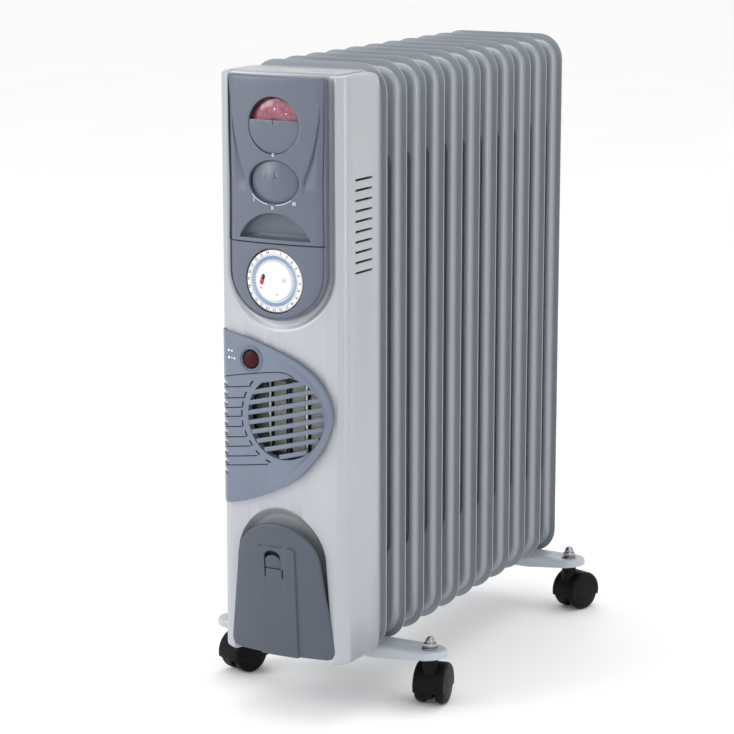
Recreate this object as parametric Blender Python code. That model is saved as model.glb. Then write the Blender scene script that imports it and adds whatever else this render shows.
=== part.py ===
"""Oil filled radiator heater on four twin-wheel casters, with a timer panel and a fan heater.

Metres, +Z up. The controls face -Y and the fins run back along +Y. The origin is on the floor,
under the middle of the heater.
"""

import math

import bmesh
import bpy
from mathutils import Matrix, Vector

# ---------------------------------------------------------------- driving dimensions
FIN_COUNT = 11
FIN_PITCH = 0.0404
FIN_WIDTH = 0.148
FIN_HEIGHT = 0.580
FIN_CORNER = 0.0277
FIN_SHEET = 0.0012
FIN_MARGIN = 0.0055
CHANNEL_RISE = 0.0070
CHANNEL_CHAMFER = 0.0030
CHANNEL_WALL = 0.0009
VALLEY_INNER_X = 0.030
VALLEY_OUTER_X = 0.056
HEADER_ZONE = 0.088
HEADER_RADIUS = 0.024
HEADER_BORE = 0.0215

FLOOR_TO_FINS = 0.055
CASING_AHEAD_OF_FINS = 0.072
CROWN = 0.008
COVER_RISE = 0.008
WINDER_BOTTOM = 0.0640
WINDER_TOP = 0.1965
WINDER_RISE = 0.001
WINDER_TILT = math.radians(4)
CASING_HALF_FRONT = 0.069
CASING_HALF_BACK = 0.071
CASING_WALL = 0.0012
GAP = 0.0003

WHEEL_RADIUS = 0.020
WHEEL_WIDTH = 0.011
CASTER_WEB = 0.0090
CASTER_TRAIL = 0.011
HOOD_RADIUS = 0.0222
PIN_RADIUS = 0.0040
PIVOT_RADIUS = 0.0025
PIVOT_FOOT = 0.0230
BOSS_FOOT = 0.0408
BOSS_TOP = 0.0445
FRONT_STEM_X = 0.1125
REAR_STEM_X = 0.1010
BRACKET_END = 0.0175
BRACKET_HEIGHT = 0.0125
BRACKET_SHEET = 0.0025
BRACKET_TAPER_X = 0.0480
BRACKET_TAPER_RISE = 0.0065

ROUND = 24
COLLAR_SIDES = 8
CASTER_SIDES = 16

# ---------------------------------------------------------------- derived places
WINDER_REACH = WINDER_RISE + (WINDER_TOP - WINDER_BOTTOM) * math.sin(WINDER_TILT)
FRONT_REACH = CASING_AHEAD_OF_FINS + CROWN + WINDER_REACH
COLLAR_REACH = FIN_PITCH / 2 - GAP / 2
REAR_REACH = (FIN_COUNT - 1) * FIN_PITCH + COLLAR_REACH
FIRST_FIN_Y = (FRONT_REACH - REAR_REACH) / 2
LAST_FIN_Y = FIRST_FIN_Y + (FIN_COUNT - 1) * FIN_PITCH

FIN_BOTTOM = FLOOR_TO_FINS
FIN_TOP = FIN_BOTTOM + FIN_HEIGHT
HEADER_INSET = HEADER_ZONE / 2
LOWER_HEADER_Z = FIN_BOTTOM + HEADER_INSET
UPPER_HEADER_Z = FIN_TOP - HEADER_INSET

CASING_EDGE_Y = FIRST_FIN_Y - CASING_AHEAD_OF_FINS
CASING_BACK_Y = FIRST_FIN_Y - 0.0095
CASING_BOTTOM = FIN_BOTTOM + 0.005
CASING_TOP = FIN_TOP - 0.006
CASING_CORNER = 0.009

PANEL_HALF = 0.0525
PANEL_SPLIT_Z = 0.4700
PANEL_TOP = CASING_TOP - 0.0012
PANEL_SKIN = 0.0020
PANEL_HOLE_HALF = 0.0440
PANEL_HOLE_TOP = CASING_TOP - 0.0140
PANEL_HOLLOW_BOTTOM = 0.5020
PANEL_HOLLOW_TOP = PANEL_TOP - 0.0060
THERMOSTAT_Z = 0.5815
THERMOSTAT_RADIUS = 0.0272
THERMOSTAT_CHORD = 0.0050
SELECTOR_Z = 0.5285
SELECTOR_RADIUS = 0.0256
SELECTOR_HALF_WIDTH = 0.0272
SELECTOR_HALF_HEIGHT = 0.0208
RECESS_HALF_WIDTH = 0.0390
RECESS_HEIGHT = 0.0255
RECESS_DEPTH = 0.0120
RECESS_BOTTOM = PANEL_SPLIT_Z + 0.0040

TIMER_Z = 0.4345
TIMER_RADIUS = 0.0300
TIMER_CENTRE_RADIUS = 0.0192
TIMER_PANEL_CENTRE_Z = 0.4430
TIMER_PANEL_DROP = 0.0500
DISH_REACH = 0.0060
DISH_DEPTH = 0.0025
TIMER_BODY_RADIUS = 0.0310
TIMER_BODY_DEPTH = 0.0360
TIMER_SWITCH_X = -0.0125
TIMER_SWITCH_Z = TIMER_Z + 0.0010
TIMER_SWITCH_TILT = math.radians(15)

FAN_X = 0.0080
FAN_Z = 0.3000
FAN_OPENING_RADIUS = 0.0420
FAN_HOLE_RADIUS = 0.0440
FAN_COVER_TOP = 0.3800
FAN_COVER_BOTTOM = 0.2090
FAN_SIDE_REACH = 0.0400
FAN_COVER_RISE = 0.0060
SLAT_TILT = math.radians(14)
SLAT_PITCH = 0.0097
SLOT_HEIGHT = 0.0061
SLOT_COUNT = 8
FAN_SWITCH = Vector((-0.0275, 0, 0.3565))
FAN_SWITCH_RADIUS = 0.0098
FAN_BEZEL_RADIUS = 0.0128
SWITCH_HOLE_RADIUS = 0.0112
HEATER_LOW = (-0.040, 0.2580)
HEATER_HIGH = (0.044, 0.3405)
HEATER_RIM = 0.0060
HEATER_THICK = 0.0040
STRIP_PITCH = 0.0190
STRIP_GAP_HALF = 0.0075
BLOWER_AXIS_DEPTH = 0.0340
BLOWER_BLADES = 16
BLOWER_OUTER = 0.0220
BLOWER_INNER = 0.0150
BLOWER_FOOT = 0.0460
BLOWER_HEAD = 0.0500

WINDER_HALF_BOTTOM = 0.0560
WINDER_HALF_TOP = 0.0455
WINDER_SHOULDER_Z = 0.1560
WINDER_THICK = 0.0050
WINDER_CORE_HALF = 0.0290
WINDER_CORE_TOP = 0.1500
COVE_DEPTH = 0.0120
COVE_MARGIN = 0.0160
COVE_FLOOR_Y = CASING_EDGE_Y + COVE_DEPTH

VENT_COUNT = 10
VENT_PITCH = 0.0098
VENT_TOP_Z = 0.5305
VENT_HEIGHT = 0.0021
VENT_LENGTH = 0.0315
VENT_MIDDLE_Y = CASING_EDGE_Y + 0.0335

BRACKET_TOP = FIN_BOTTOM + 0.0040
BRACKET_BOTTOM = BRACKET_TOP - BRACKET_HEIGHT
FRONT_BRACKET_Y = FIRST_FIN_Y + FIN_PITCH / 2
REAR_BRACKET_Y = LAST_FIN_Y - FIN_PITCH / 2
U_BOLT_RADIUS = 0.0030
U_BOLT_HALF = HEADER_RADIUS + U_BOLT_RADIUS + 0.0006

# place name, stem x, stem y, and the turn of the wheels' axle from +X
CASTERS = (
    ("front_right", FRONT_STEM_X, FRONT_BRACKET_Y, math.radians(10)),
    ("front_left", -FRONT_STEM_X, FRONT_BRACKET_Y, math.radians(-20)),
    ("rear_right", REAR_STEM_X, REAR_BRACKET_Y, math.radians(-20)),
    ("rear_left", -REAR_STEM_X, REAR_BRACKET_Y, math.radians(-5)),
)

FINISHES = {
    "fin_paint": ((0.42, 0.44, 0.45), 0.35, 0.0),
    "casing_paint": ((0.68, 0.69, 0.70), 0.35, 0.0),
    "panel_plastic": ((0.15, 0.18, 0.23), 0.45, 0.0),
    "winder_plastic": ((0.12, 0.15, 0.19), 0.45, 0.0),
    "bracket_paint": ((0.66, 0.69, 0.72), 0.40, 0.0),
    "caster_plastic": ((0.01, 0.01, 0.01), 0.35, 0.0),
    "chrome": ((0.75, 0.75, 0.75), 0.12, 1.0),
    "zinc_steel": ((0.55, 0.56, 0.56), 0.40, 1.0),
    "lens_red": ((0.35, 0.05, 0.06), 0.20, 0.0),
    "switch_red": ((0.14, 0.01, 0.01), 0.25, 0.0),
    "dial_white": ((0.80, 0.80, 0.80), 0.35, 0.0),
    "switch_body": ((0.05, 0.05, 0.05), 0.50, 0.0),
    "mica": ((0.33, 0.30, 0.25), 0.60, 0.0),
    "blower_plastic": ((0.25, 0.26, 0.26), 0.50, 0.0),
}


# ---------------------------------------------------------------- tools
def clear_scene():
    for obj in list(bpy.data.objects):
        bpy.data.objects.remove(obj, do_unlink=True)


def finish_of(name):
    found = bpy.data.materials.get(name)
    if found:
        return found
    colour, roughness, metallic = FINISHES[name]
    made = bpy.data.materials.new(name)
    made.use_nodes = True
    shader = made.node_tree.nodes["Principled BSDF"]
    shader.inputs["Base Color"].default_value = (*colour, 1.0)
    shader.inputs["Roughness"].default_value = roughness
    shader.inputs["Metallic"].default_value = metallic
    return made


def object_of(name, bm, finish=None, smooth=False):
    """Turns a bmesh into an object. One with no finish is a helper that only cuts or adds."""
    bmesh.ops.recalc_face_normals(bm, faces=bm.faces)
    mesh = bpy.data.meshes.new(name)
    bm.to_mesh(mesh)
    bm.free()
    if smooth:
        mesh.shade_smooth()
        mesh.set_sharp_from_angle(angle=math.radians(35))
    obj = bpy.data.objects.new(name, mesh)
    bpy.context.scene.collection.objects.link(obj)
    if finish:
        mesh.materials.append(finish_of(finish))
    else:
        obj.hide_render = True
        obj.display_type = "WIRE"
    return obj


def boolean(target, tool, operation="DIFFERENCE"):
    modifier = target.modifiers.new(operation.title(), "BOOLEAN")
    modifier.operation = operation
    modifier.solver = "EXACT"
    modifier.object = tool
    return target


def move(obj, x=0.0, y=0.0, z=0.0, turn_z=0.0):
    obj.location = (x, y, z)
    obj.rotation_euler = (0, 0, turn_z)
    return obj


def arc(centre, radii, start, end, steps):
    """Points of an elliptical arc in a plane, from one angle to another in degrees."""
    points = []
    for step in range(steps + 1):
        angle = math.radians(start + (end - start) * step / steps)
        points.append((centre[0] + radii[0] * math.cos(angle), centre[1] + radii[1] * math.sin(angle)))
    return points


def circle(centre, radius, steps=ROUND, squash=1.0):
    return arc(centre, (radius, radius * squash), 0, 360, steps)[:-1]


def rounded_rectangle(low, high, radius, steps=4):
    corners = (
        (high[0] - radius, high[1] - radius, 0),
        (low[0] + radius, high[1] - radius, 90),
        (low[0] + radius, low[1] + radius, 180),
        (high[0] - radius, low[1] + radius, 270),
    )
    points = []
    for x, z, start in corners:
        points += arc((x, z), (radius, radius), start, start + 90, steps)
    return points


def prism(name, outline, start, end, axis="Y", finish=None, chamfer=0.0, both_ends=False):
    """An outline pushed along an axis. A chamfer breaks the edges of its start, or of both ends."""
    place = {
        "X": lambda a, b, along: (along, a, b),
        "Y": lambda a, b, along: (a, along, b),
        "Z": lambda a, b, along: (a, b, along),
    }[axis]
    bm = bmesh.new()
    first = [bm.verts.new(place(a, b, start)) for a, b in outline]
    face = bm.faces.new(first)
    pushed = bmesh.ops.extrude_face_region(bm, geom=[face], use_keep_orig=True)["geom"]
    last = [item for item in pushed if isinstance(item, bmesh.types.BMVert)]
    step = Vector(place(0, 0, end)) - Vector(place(0, 0, start))
    bmesh.ops.translate(bm, verts=last, vec=step)
    if chamfer:
        ends = {"XYZ".index(axis): (start, end) if both_ends else (start,)}
        edges = []
        for number, levels in ends.items():
            for edge in bm.edges:
                for level in levels:
                    if all(abs(vert.co[number] - level) < 1e-6 for vert in edge.verts):
                        edges.append(edge)
        bmesh.ops.bevel(bm, geom=edges, offset=chamfer, segments=1, profile=0.5, affect="EDGES")
    return object_of(name, bm, finish, smooth=len(outline) > 8)


def turned(name, profile, steps=ROUND, finish=None, axis="Z"):
    """A closed profile of (radius, height) points spun once round Z, or round Y with its top at -Y."""
    bm = bmesh.new()
    ring = [bm.verts.new((radius, 0, height)) for radius, height in profile]
    edges = [bm.edges.new((ring[i], ring[(i + 1) % len(ring)])) for i in range(len(ring))]
    bmesh.ops.spin(
        bm, geom=ring + edges, cent=(0, 0, 0), axis=(0, 0, 1), angle=math.tau, steps=steps, use_merge=True
    )
    bmesh.ops.remove_doubles(bm, verts=bm.verts, dist=1e-6)
    bmesh.ops.dissolve_degenerate(bm, edges=bm.edges, dist=1e-6)
    on_axis = [edge for edge in bm.edges if not edge.link_faces]
    bmesh.ops.delete(bm, geom=on_axis, context="EDGES")
    if axis == "Y":
        bmesh.ops.rotate(bm, verts=bm.verts, matrix=Matrix.Rotation(math.radians(90), 3, "X"))
    return object_of(name, bm, finish, smooth=True)


def block(name, low, high, finish=None):
    bm = bmesh.new()
    size = [high[i] - low[i] for i in range(3)]
    middle = [(high[i] + low[i]) / 2 for i in range(3)]
    bmesh.ops.create_cube(bm, size=1, matrix=Matrix.Translation(middle) @ Matrix.Diagonal((*size, 1)))
    return object_of(name, bm, finish)


def settled(obj):
    """The mesh of an object with its modifiers carried out, for several objects to share."""
    graph = bpy.context.evaluated_depsgraph_get()
    return bpy.data.meshes.new_from_object(obj.evaluated_get(graph))


def copy_of(name, mesh, finish):
    obj = bpy.data.objects.new(name, mesh)
    if not mesh.materials:
        mesh.materials.append(finish_of(finish))
    mesh.materials[0] = finish_of(finish)
    bpy.context.scene.collection.objects.link(obj)
    return obj


# ---------------------------------------------------------------- crowned front
def front_y(x, out=0.0):
    """Y of the casing's crowned front at a given x, moved outwards by a rise."""
    half = CASING_HALF_FRONT
    return CASING_EDGE_Y - CROWN * (1 - min(1.0, abs(x) / half) ** 2) - out


def crowned_slab(name, half, back, rise, bottom, top, finish=None, steps=10):
    """A slab that follows the crowned front: its back and its face lie that far out from the casing."""
    xs = [-half + 2 * half * step / steps for step in range(steps + 1)]
    outline = [(x, front_y(x, rise)) for x in xs] + [(x, front_y(x, back)) for x in reversed(xs)]
    return prism(name, outline, bottom, top, "Z", finish)


# ---------------------------------------------------------------- radiator
def fin_mesh():
    half, tall = FIN_WIDTH / 2, FIN_HEIGHT
    sheet = rounded_rectangle((-half, 0), (half, tall), FIN_CORNER, steps=2)
    fin = prism("fin_sheet", sheet, -FIN_SHEET / 2, FIN_SHEET / 2)

    def channels(name, inset, rise, steps, chamfer):
        edge = FIN_MARGIN + inset
        radius = FIN_CORNER - edge
        outline = rounded_rectangle((-half + edge, edge), (half - edge, tall - edge), radius, steps)
        body = prism(name, outline, -rise, rise, chamfer=chamfer, both_ends=True)
        for side in (-1, 1):
            near, far = side * (VALLEY_INNER_X - inset), side * (VALLEY_OUTER_X + inset)
            low, high = HEADER_ZONE - inset, tall - HEADER_ZONE + inset
            valley = [(near, low), (far, low), (far, high), (near, high)]
            boolean(body, prism(f"{name}_valley", valley, -0.02, 0.02))
        return body

    boolean(fin, channels("channels", 0.0, CHANNEL_RISE, 2, CHANNEL_CHAMFER), "UNION")
    collars = (HEADER_INSET, tall - HEADER_INSET)
    for z in collars:
        collar = prism("collar", circle((0, z), HEADER_RADIUS, COLLAR_SIDES), -COLLAR_REACH, COLLAR_REACH)
        boolean(fin, collar, "UNION")
    boolean(fin, channels("oil_space", CHANNEL_CHAMFER, CHANNEL_RISE - CHANNEL_WALL, 1, 0.0))
    for z in collars:
        boolean(fin, prism("bore", circle((0, z), HEADER_BORE, COLLAR_SIDES), -0.03, 0.03))
    return settled(fin)


def build_fins():
    mesh = fin_mesh()
    for number in range(FIN_COUNT):
        fin = copy_of(f"fin_{number + 1:02d}", mesh, "fin_paint")
        move(fin, 0, FIRST_FIN_Y + number * FIN_PITCH, FIN_BOTTOM)


def build_header_ends():
    """Discs that close the headers, and the heating element that is bolted into the lower one."""
    radius = HEADER_BORE - GAP
    front = FIRST_FIN_Y - COLLAR_REACH
    rear = LAST_FIN_Y + COLLAR_REACH
    places = (
        ("header_plug_front_top", front, UPPER_HEADER_Z, 1),
        ("header_plug_rear_top", rear, UPPER_HEADER_Z, -1),
        ("header_plug_rear_bottom", rear, LOWER_HEADER_Z, -1),
    )
    for name, y, z, inwards in places:
        ends = sorted((y, y + inwards * 0.004))
        prism(name, circle((0, z), radius, COLLAR_SIDES), ends[0], ends[1], finish="fin_paint")

    flange = turned(
        "heating_element",
        [(0, 0.010), (0.012, 0.010), (0.012, 0.003), (radius, 0.003), (radius, -0.004), (0, -0.004)],
        COLLAR_SIDES,
        "zinc_steel",
        axis="Y",
    )
    move(flange, 0, front, LOWER_HEADER_Z)
    curve = bpy.data.curves.new("hairpin", "CURVE")
    curve.dimensions = "3D"
    curve.bevel_depth = 0.0042
    curve.bevel_resolution = 1
    curve.use_fill_caps = True
    reach, half = 0.330, 0.010
    path = [(half, 0.0, 0), (half, reach, 0)]
    path += [(x, y, 0) for x, y in arc((0, reach), (half, half), 30, 150, 4)]
    path += [(-half, reach, 0), (-half, 0.0, 0)]
    spline = curve.splines.new("POLY")
    spline.points.add(len(path) - 1)
    for point, place in zip(spline.points, path):
        point.co = (*place, 1)
    hairpin = bpy.data.objects.new("hairpin", curve)
    bpy.context.scene.collection.objects.link(hairpin)
    tube = bpy.data.objects.new("hairpin_tube", settled(hairpin))
    bpy.context.scene.collection.objects.link(tube)
    for helper in (hairpin, tube):
        helper.hide_render = True
        helper.display_type = "WIRE"
        helper.location = (0, front, LOWER_HEADER_Z)
    boolean(flange, tube, "UNION")


# ---------------------------------------------------------------- casing
def casing_plan(inset):
    """Plan outline of the casing: crowned front, rounded front corners, sides that widen to the back."""
    front_half, back_half = CASING_HALF_FRONT - inset, CASING_HALF_BACK - inset
    radius = CASING_CORNER - inset
    corner_y = CASING_EDGE_Y + CASING_CORNER
    flat = front_half - radius
    xs = [-flat + 2 * flat * step / 10 for step in range(11)]
    front = [(x, front_y(x, -inset)) for x in xs]
    right = arc((flat, corner_y), (radius, radius), -67.5, 0, 3)
    left = arc((-flat, corner_y), (radius, radius), 180, 247.5, 3)
    back_y = CASING_BACK_Y + (0.01 if inset else 0)
    return left + front + right + [(back_half, back_y), (-back_half, back_y)]


def timer_cove():
    """U-shaped dish pressed into the casing round the timer panel."""
    centre = (0, TIMER_PANEL_CENTRE_Z)
    half = PANEL_HALF + DISH_REACH
    bottom = arc(centre, (half, TIMER_PANEL_DROP + DISH_REACH + 0.004), 180, 360, 16)
    return bottom + [(half, PANEL_SPLIT_Z), (-half, PANEL_SPLIT_Z)]


def winder_cove(grow=0.0):
    """Arched cove, open at the bottom, that the cord winds in."""
    half, top = WINDER_HALF_TOP + 0.006 + grow, WINDER_SHOULDER_Z + 0.004
    foot = WINDER_HALF_BOTTOM + 0.003 + grow
    return arc((0, top), (half, WINDER_TOP + COVE_MARGIN - top + grow), 0, 180, 12) + [
        (-foot, CASING_BOTTOM - 0.01),
        (foot, CASING_BOTTOM - 0.01),
    ]


def vent_boxes(side):
    """Blocks that cut one side's row of louvre slots."""
    half_long, half_high = VENT_LENGTH / 2, VENT_HEIGHT / 2
    near, far = sorted((side * 0.060, side * 0.080))
    for number in range(VENT_COUNT):
        z = VENT_TOP_Z - number * VENT_PITCH
        low = (near, VENT_MIDDLE_Y - half_long, z - half_high)
        high = (far, VENT_MIDDLE_Y + half_long, z + half_high)
        yield block("vent", low, high)


def build_casing():
    plan = casing_plan(0)
    casing = prism("front_casing", plan, CASING_BOTTOM, CASING_TOP, "Z", "casing_paint", 0.004, True)
    boolean(casing, prism("winder_cove", winder_cove(), CASING_EDGE_Y - 0.05, COVE_FLOOR_Y))
    dish = crowned_slab("timer_dish_depth", 0.068, -DISH_DEPTH, 0.01, 0.37, PANEL_SPLIT_Z + 0.01)
    boolean(dish, prism("timer_dish_outline", timer_cove(), -0.4, 0), "INTERSECT")
    boolean(casing, dish)

    inside = prism(
        "casing_inside", casing_plan(CASING_WALL + 0.0028), CASING_BOTTOM + 0.003, CASING_TOP - 0.003, "Z"
    )
    wall_back = COVE_FLOOR_Y + CASING_WALL
    boolean(inside, prism("cove_wall", winder_cove(CASING_WALL), CASING_EDGE_Y - 0.05, wall_back))
    boolean(casing, inside)

    half = PANEL_HOLE_HALF
    panel_hole = arc((0, TIMER_PANEL_CENTRE_Z), (half, TIMER_PANEL_DROP - 0.010), 180, 360, 12)
    panel_hole += [(half, PANEL_HOLE_TOP), (-half, PANEL_HOLE_TOP)]
    fan_hole = circle((FAN_X, FAN_Z), FAN_HOLE_RADIUS, 16)
    switch_hole = circle((FAN_SWITCH.x, FAN_SWITCH.z), SWITCH_HOLE_RADIUS, 12)
    for outline in (panel_hole, fan_hole, switch_hole):
        boolean(casing, prism("front_hole", outline, -0.30, CASING_EDGE_Y + 0.02))
    side_hole = rounded_rectangle((CASING_EDGE_Y + 0.012, 0.252), (CASING_EDGE_Y + 0.034, 0.346), 0.005, 1)
    boolean(casing, prism("side_hole", side_hole, -0.09, -0.05, "X"))
    for side in (-1, 1):
        for vent in vent_boxes(side):
            boolean(casing, vent)

    shield = rounded_rectangle((-0.069, CASING_BOTTOM + 0.002), (0.069, CASING_TOP - 0.002), 0.010, steps=2)
    back = prism(
        "casing_back", shield, CASING_BACK_Y + GAP, CASING_BACK_Y + GAP + 0.0012, finish="casing_paint"
    )
    for z in (LOWER_HEADER_Z, UPPER_HEADER_Z):
        boolean(back, prism("header_hole", circle((0, z), HEADER_RADIUS + 0.002, 16), -0.4, 0))


def build_cord_gland():
    """Grommet in the casing's bottom, where the cord would go through."""
    bore, neck, lip = 0.0032, 0.0068, 0.0100
    profile = [(bore, 0.006), (lip, 0.006), (lip, GAP), (neck, GAP), (neck, -0.012), (bore, -0.012)]
    gland = turned("cord_gland", profile, 12, "switch_body")
    x, y = 0.045, CASING_BACK_Y - 0.022
    move(gland, x, y, CASING_BOTTOM + 0.003)
    casing = bpy.data.objects["front_casing"]
    boolean(casing, prism("gland_hole", circle((x, y), neck + 0.0004, 12), 0.05, 0.08, "Z"))


# ---------------------------------------------------------------- control panel
def half_moon(half, height, bottom, steps=12):
    radius = (half * half + height * height) / (2 * height)
    centre = (0, bottom + height - radius)
    open_angle = math.degrees(math.asin(half / radius))
    return arc(centre, (radius, radius), 90 - open_angle, 90 + open_angle, steps)


def build_control_panel():
    panel = crowned_slab(
        "control_panel", PANEL_HALF, GAP, COVER_RISE, PANEL_SPLIT_Z + GAP, PANEL_TOP, "panel_plastic"
    )
    skin = COVER_RISE - PANEL_SKIN
    hollow = crowned_slab("hollow", PANEL_HOLE_HALF, -0.01, skin, PANEL_HOLLOW_BOTTOM, PANEL_HOLLOW_TOP)
    boolean(panel, hollow)
    knob_well = prism("knob_well", circle((0, THERMOSTAT_Z), THERMOSTAT_RADIUS), -0.30, -0.22)
    boolean(panel, knob_well)
    squash = SELECTOR_HALF_HEIGHT / SELECTOR_HALF_WIDTH
    window = circle((0, SELECTOR_Z), SELECTOR_HALF_WIDTH, ROUND, squash)
    boolean(panel, prism("selector_window", window, -0.30, -0.22))
    recess_floor = front_y(0, COVER_RISE) + RECESS_DEPTH
    cup_mouth = CASING_EDGE_Y - 0.010
    cup = prism("recess_cup", recess_outline(), cup_mouth, recess_floor + 0.0025)
    boolean(panel, cup, "UNION")
    recess = half_moon(RECESS_HALF_WIDTH, RECESS_HEIGHT, RECESS_BOTTOM)
    boolean(panel, prism("finger_recess", recess, -0.30, recess_floor))


def recess_outline():
    """Outline of the cup that walls the finger recess where it passes through the casing."""
    wall = 0.0018
    return half_moon(RECESS_HALF_WIDTH + wall, RECESS_HEIGHT + 2 * wall, RECESS_BOTTOM - wall)


def build_thermostat():
    face_y = front_y(0, COVER_RISE)
    radius, shaft, under, end = THERMOSTAT_RADIUS - 0.0006, 0.0045, -0.0060, -0.0110
    profile = [(0, 0), (radius - 0.0021, -0.0006), (radius, -0.0022), (radius, under)]
    profile += [(shaft, under), (shaft, end), (0, end)]
    knob = turned("thermostat_knob", profile, ROUND, "panel_plastic", axis="Y")
    move(knob, 0, face_y, THERMOSTAT_Z)
    low = (-0.04, -0.30, THERMOSTAT_Z + THERMOSTAT_CHORD)
    boolean(knob, block("knob_window", low, (0.04, face_y + 0.0062, PANEL_TOP)))

    lens = turned(
        "pilot_lens",
        [(0.0048, -0.0066), (0.0250, -0.0066), (0.0268, -0.0076), (0.0268, -0.0096), (0.0048, -0.0096)],
        ROUND,
        "lens_red",
        axis="Y",
    )
    move(lens, 0, face_y, THERMOSTAT_Z)
    body = block(
        "thermostat_body",
        (-0.017, face_y + 0.0114, THERMOSTAT_Z - 0.0155),
        (0.017, face_y + 0.040, THERMOSTAT_Z + 0.020),
        "switch_body",
    )
    return body


def build_selector():
    """A domed knob behind an oval window: the dome is round, so that it can turn."""
    top = front_y(0, COVER_RISE) - 0.0025
    dome = [(0, 0), (0.009, -0.0010), (0.015, -0.0028), (0.020, -0.0050), (SELECTOR_RADIUS, -0.0062)]
    rim, shaft = dome[-1][1], 0.0050
    under, end = rim - 0.0012, rim - 0.0045
    profile = dome + [(SELECTOR_RADIUS, under), (shaft, under), (shaft, end), (0, end)]
    knob = turned("selector_knob", profile, ROUND, "panel_plastic", axis="Y")
    move(knob, 0, top, SELECTOR_Z)
    block(
        "selector_switch",
        (-0.016, top - rim + 0.0048, SELECTOR_Z - 0.018),
        (0.016, top - rim + 0.034, SELECTOR_Z + 0.018),
        "switch_body",
    )


def timer_outline(inset=0.0):
    half, drop = PANEL_HALF - 0.001 - inset, TIMER_PANEL_DROP - inset
    return arc((0, TIMER_PANEL_CENTRE_Z), (half, drop), 180, 360, 20) + [
        (half, PANEL_SPLIT_Z),
        (-half, PANEL_SPLIT_Z),
    ]


def build_timer():
    panel = crowned_slab("timer_panel", PANEL_HALF, GAP, COVER_RISE, 0.39, PANEL_SPLIT_Z, "panel_plastic")
    boolean(panel, prism("timer_outline", timer_outline(), -0.30, -0.20), "INTERSECT")
    boolean(panel, prism("dial_well", circle((0, TIMER_Z), TIMER_RADIUS + 0.0012), -0.30, -0.20))

    face_y = front_y(0, COVER_RISE)
    inner, outer, back = TIMER_CENTRE_RADIUS + 0.0004, TIMER_RADIUS, -0.0075
    ring = [(inner, -0.0005), (0.0225, -0.0005), (outer - 0.001, -0.0012)]
    ring += [(outer, -0.003), (outer, back), (inner, back)]
    dial = turned("timer_dial", ring, ROUND, "dial_white", axis="Y")
    move(dial, 0, face_y, TIMER_Z)

    centre, wide, step, end = TIMER_CENTRE_RADIUS, TIMER_BODY_RADIUS, -0.0080, -TIMER_BODY_DEPTH
    body_profile = [(0, 0), (centre, 0), (centre, step), (wide, step), (wide, end), (0, end)]
    body = turned("timer_body", body_profile, ROUND, "dial_white", axis="Y")
    move(body, 0, face_y, TIMER_Z)
    slot_outline = rounded_rectangle((-0.0022, -0.0054), (0.0022, 0.0054), 0.0010, 1)
    slot = prism("switch_slot", slot_outline, -0.02, 0.004)
    lever_outline = rounded_rectangle((-0.0018, -0.0050), (0.0018, 0.0002), 0.0010, 1)
    lever = prism("timer_switch", lever_outline, 0.0001, 0.0036, finish="switch_red")
    for item in (slot, lever):
        move(item, TIMER_SWITCH_X, face_y, TIMER_SWITCH_Z)
        item.rotation_euler = (0, TIMER_SWITCH_TILT, 0)
    boolean(body, slot)


# ---------------------------------------------------------------- fan heater
def fan_outline():
    """Leaf-shaped cover: it starts wide at the left edge and closes in a round nose on the right."""
    nose = arc((0.0185, FAN_Z - 0.003), (0.0385, 0.0465), -62, 62, 12)
    top = [(-0.005, 0.3655), (-0.074, FAN_COVER_TOP)]
    bottom = [(-0.074, FAN_COVER_BOTTOM), (-0.035, 0.2150), (0.012, 0.2375)]
    return nose + top + bottom


def slot_outline(z_middle, start_x, end_x):
    """A slanted slot between two slats, rising to the right."""
    slope = math.tan(SLAT_TILT)
    half = SLOT_HEIGHT / 2
    start_z, end_z = (z_middle + (x - FAN_X) * slope for x in (start_x, end_x))
    return [
        (start_x, start_z - half),
        (end_x, end_z - half),
        (end_x, end_z + half),
        (start_x, start_z + half),
    ]


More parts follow.
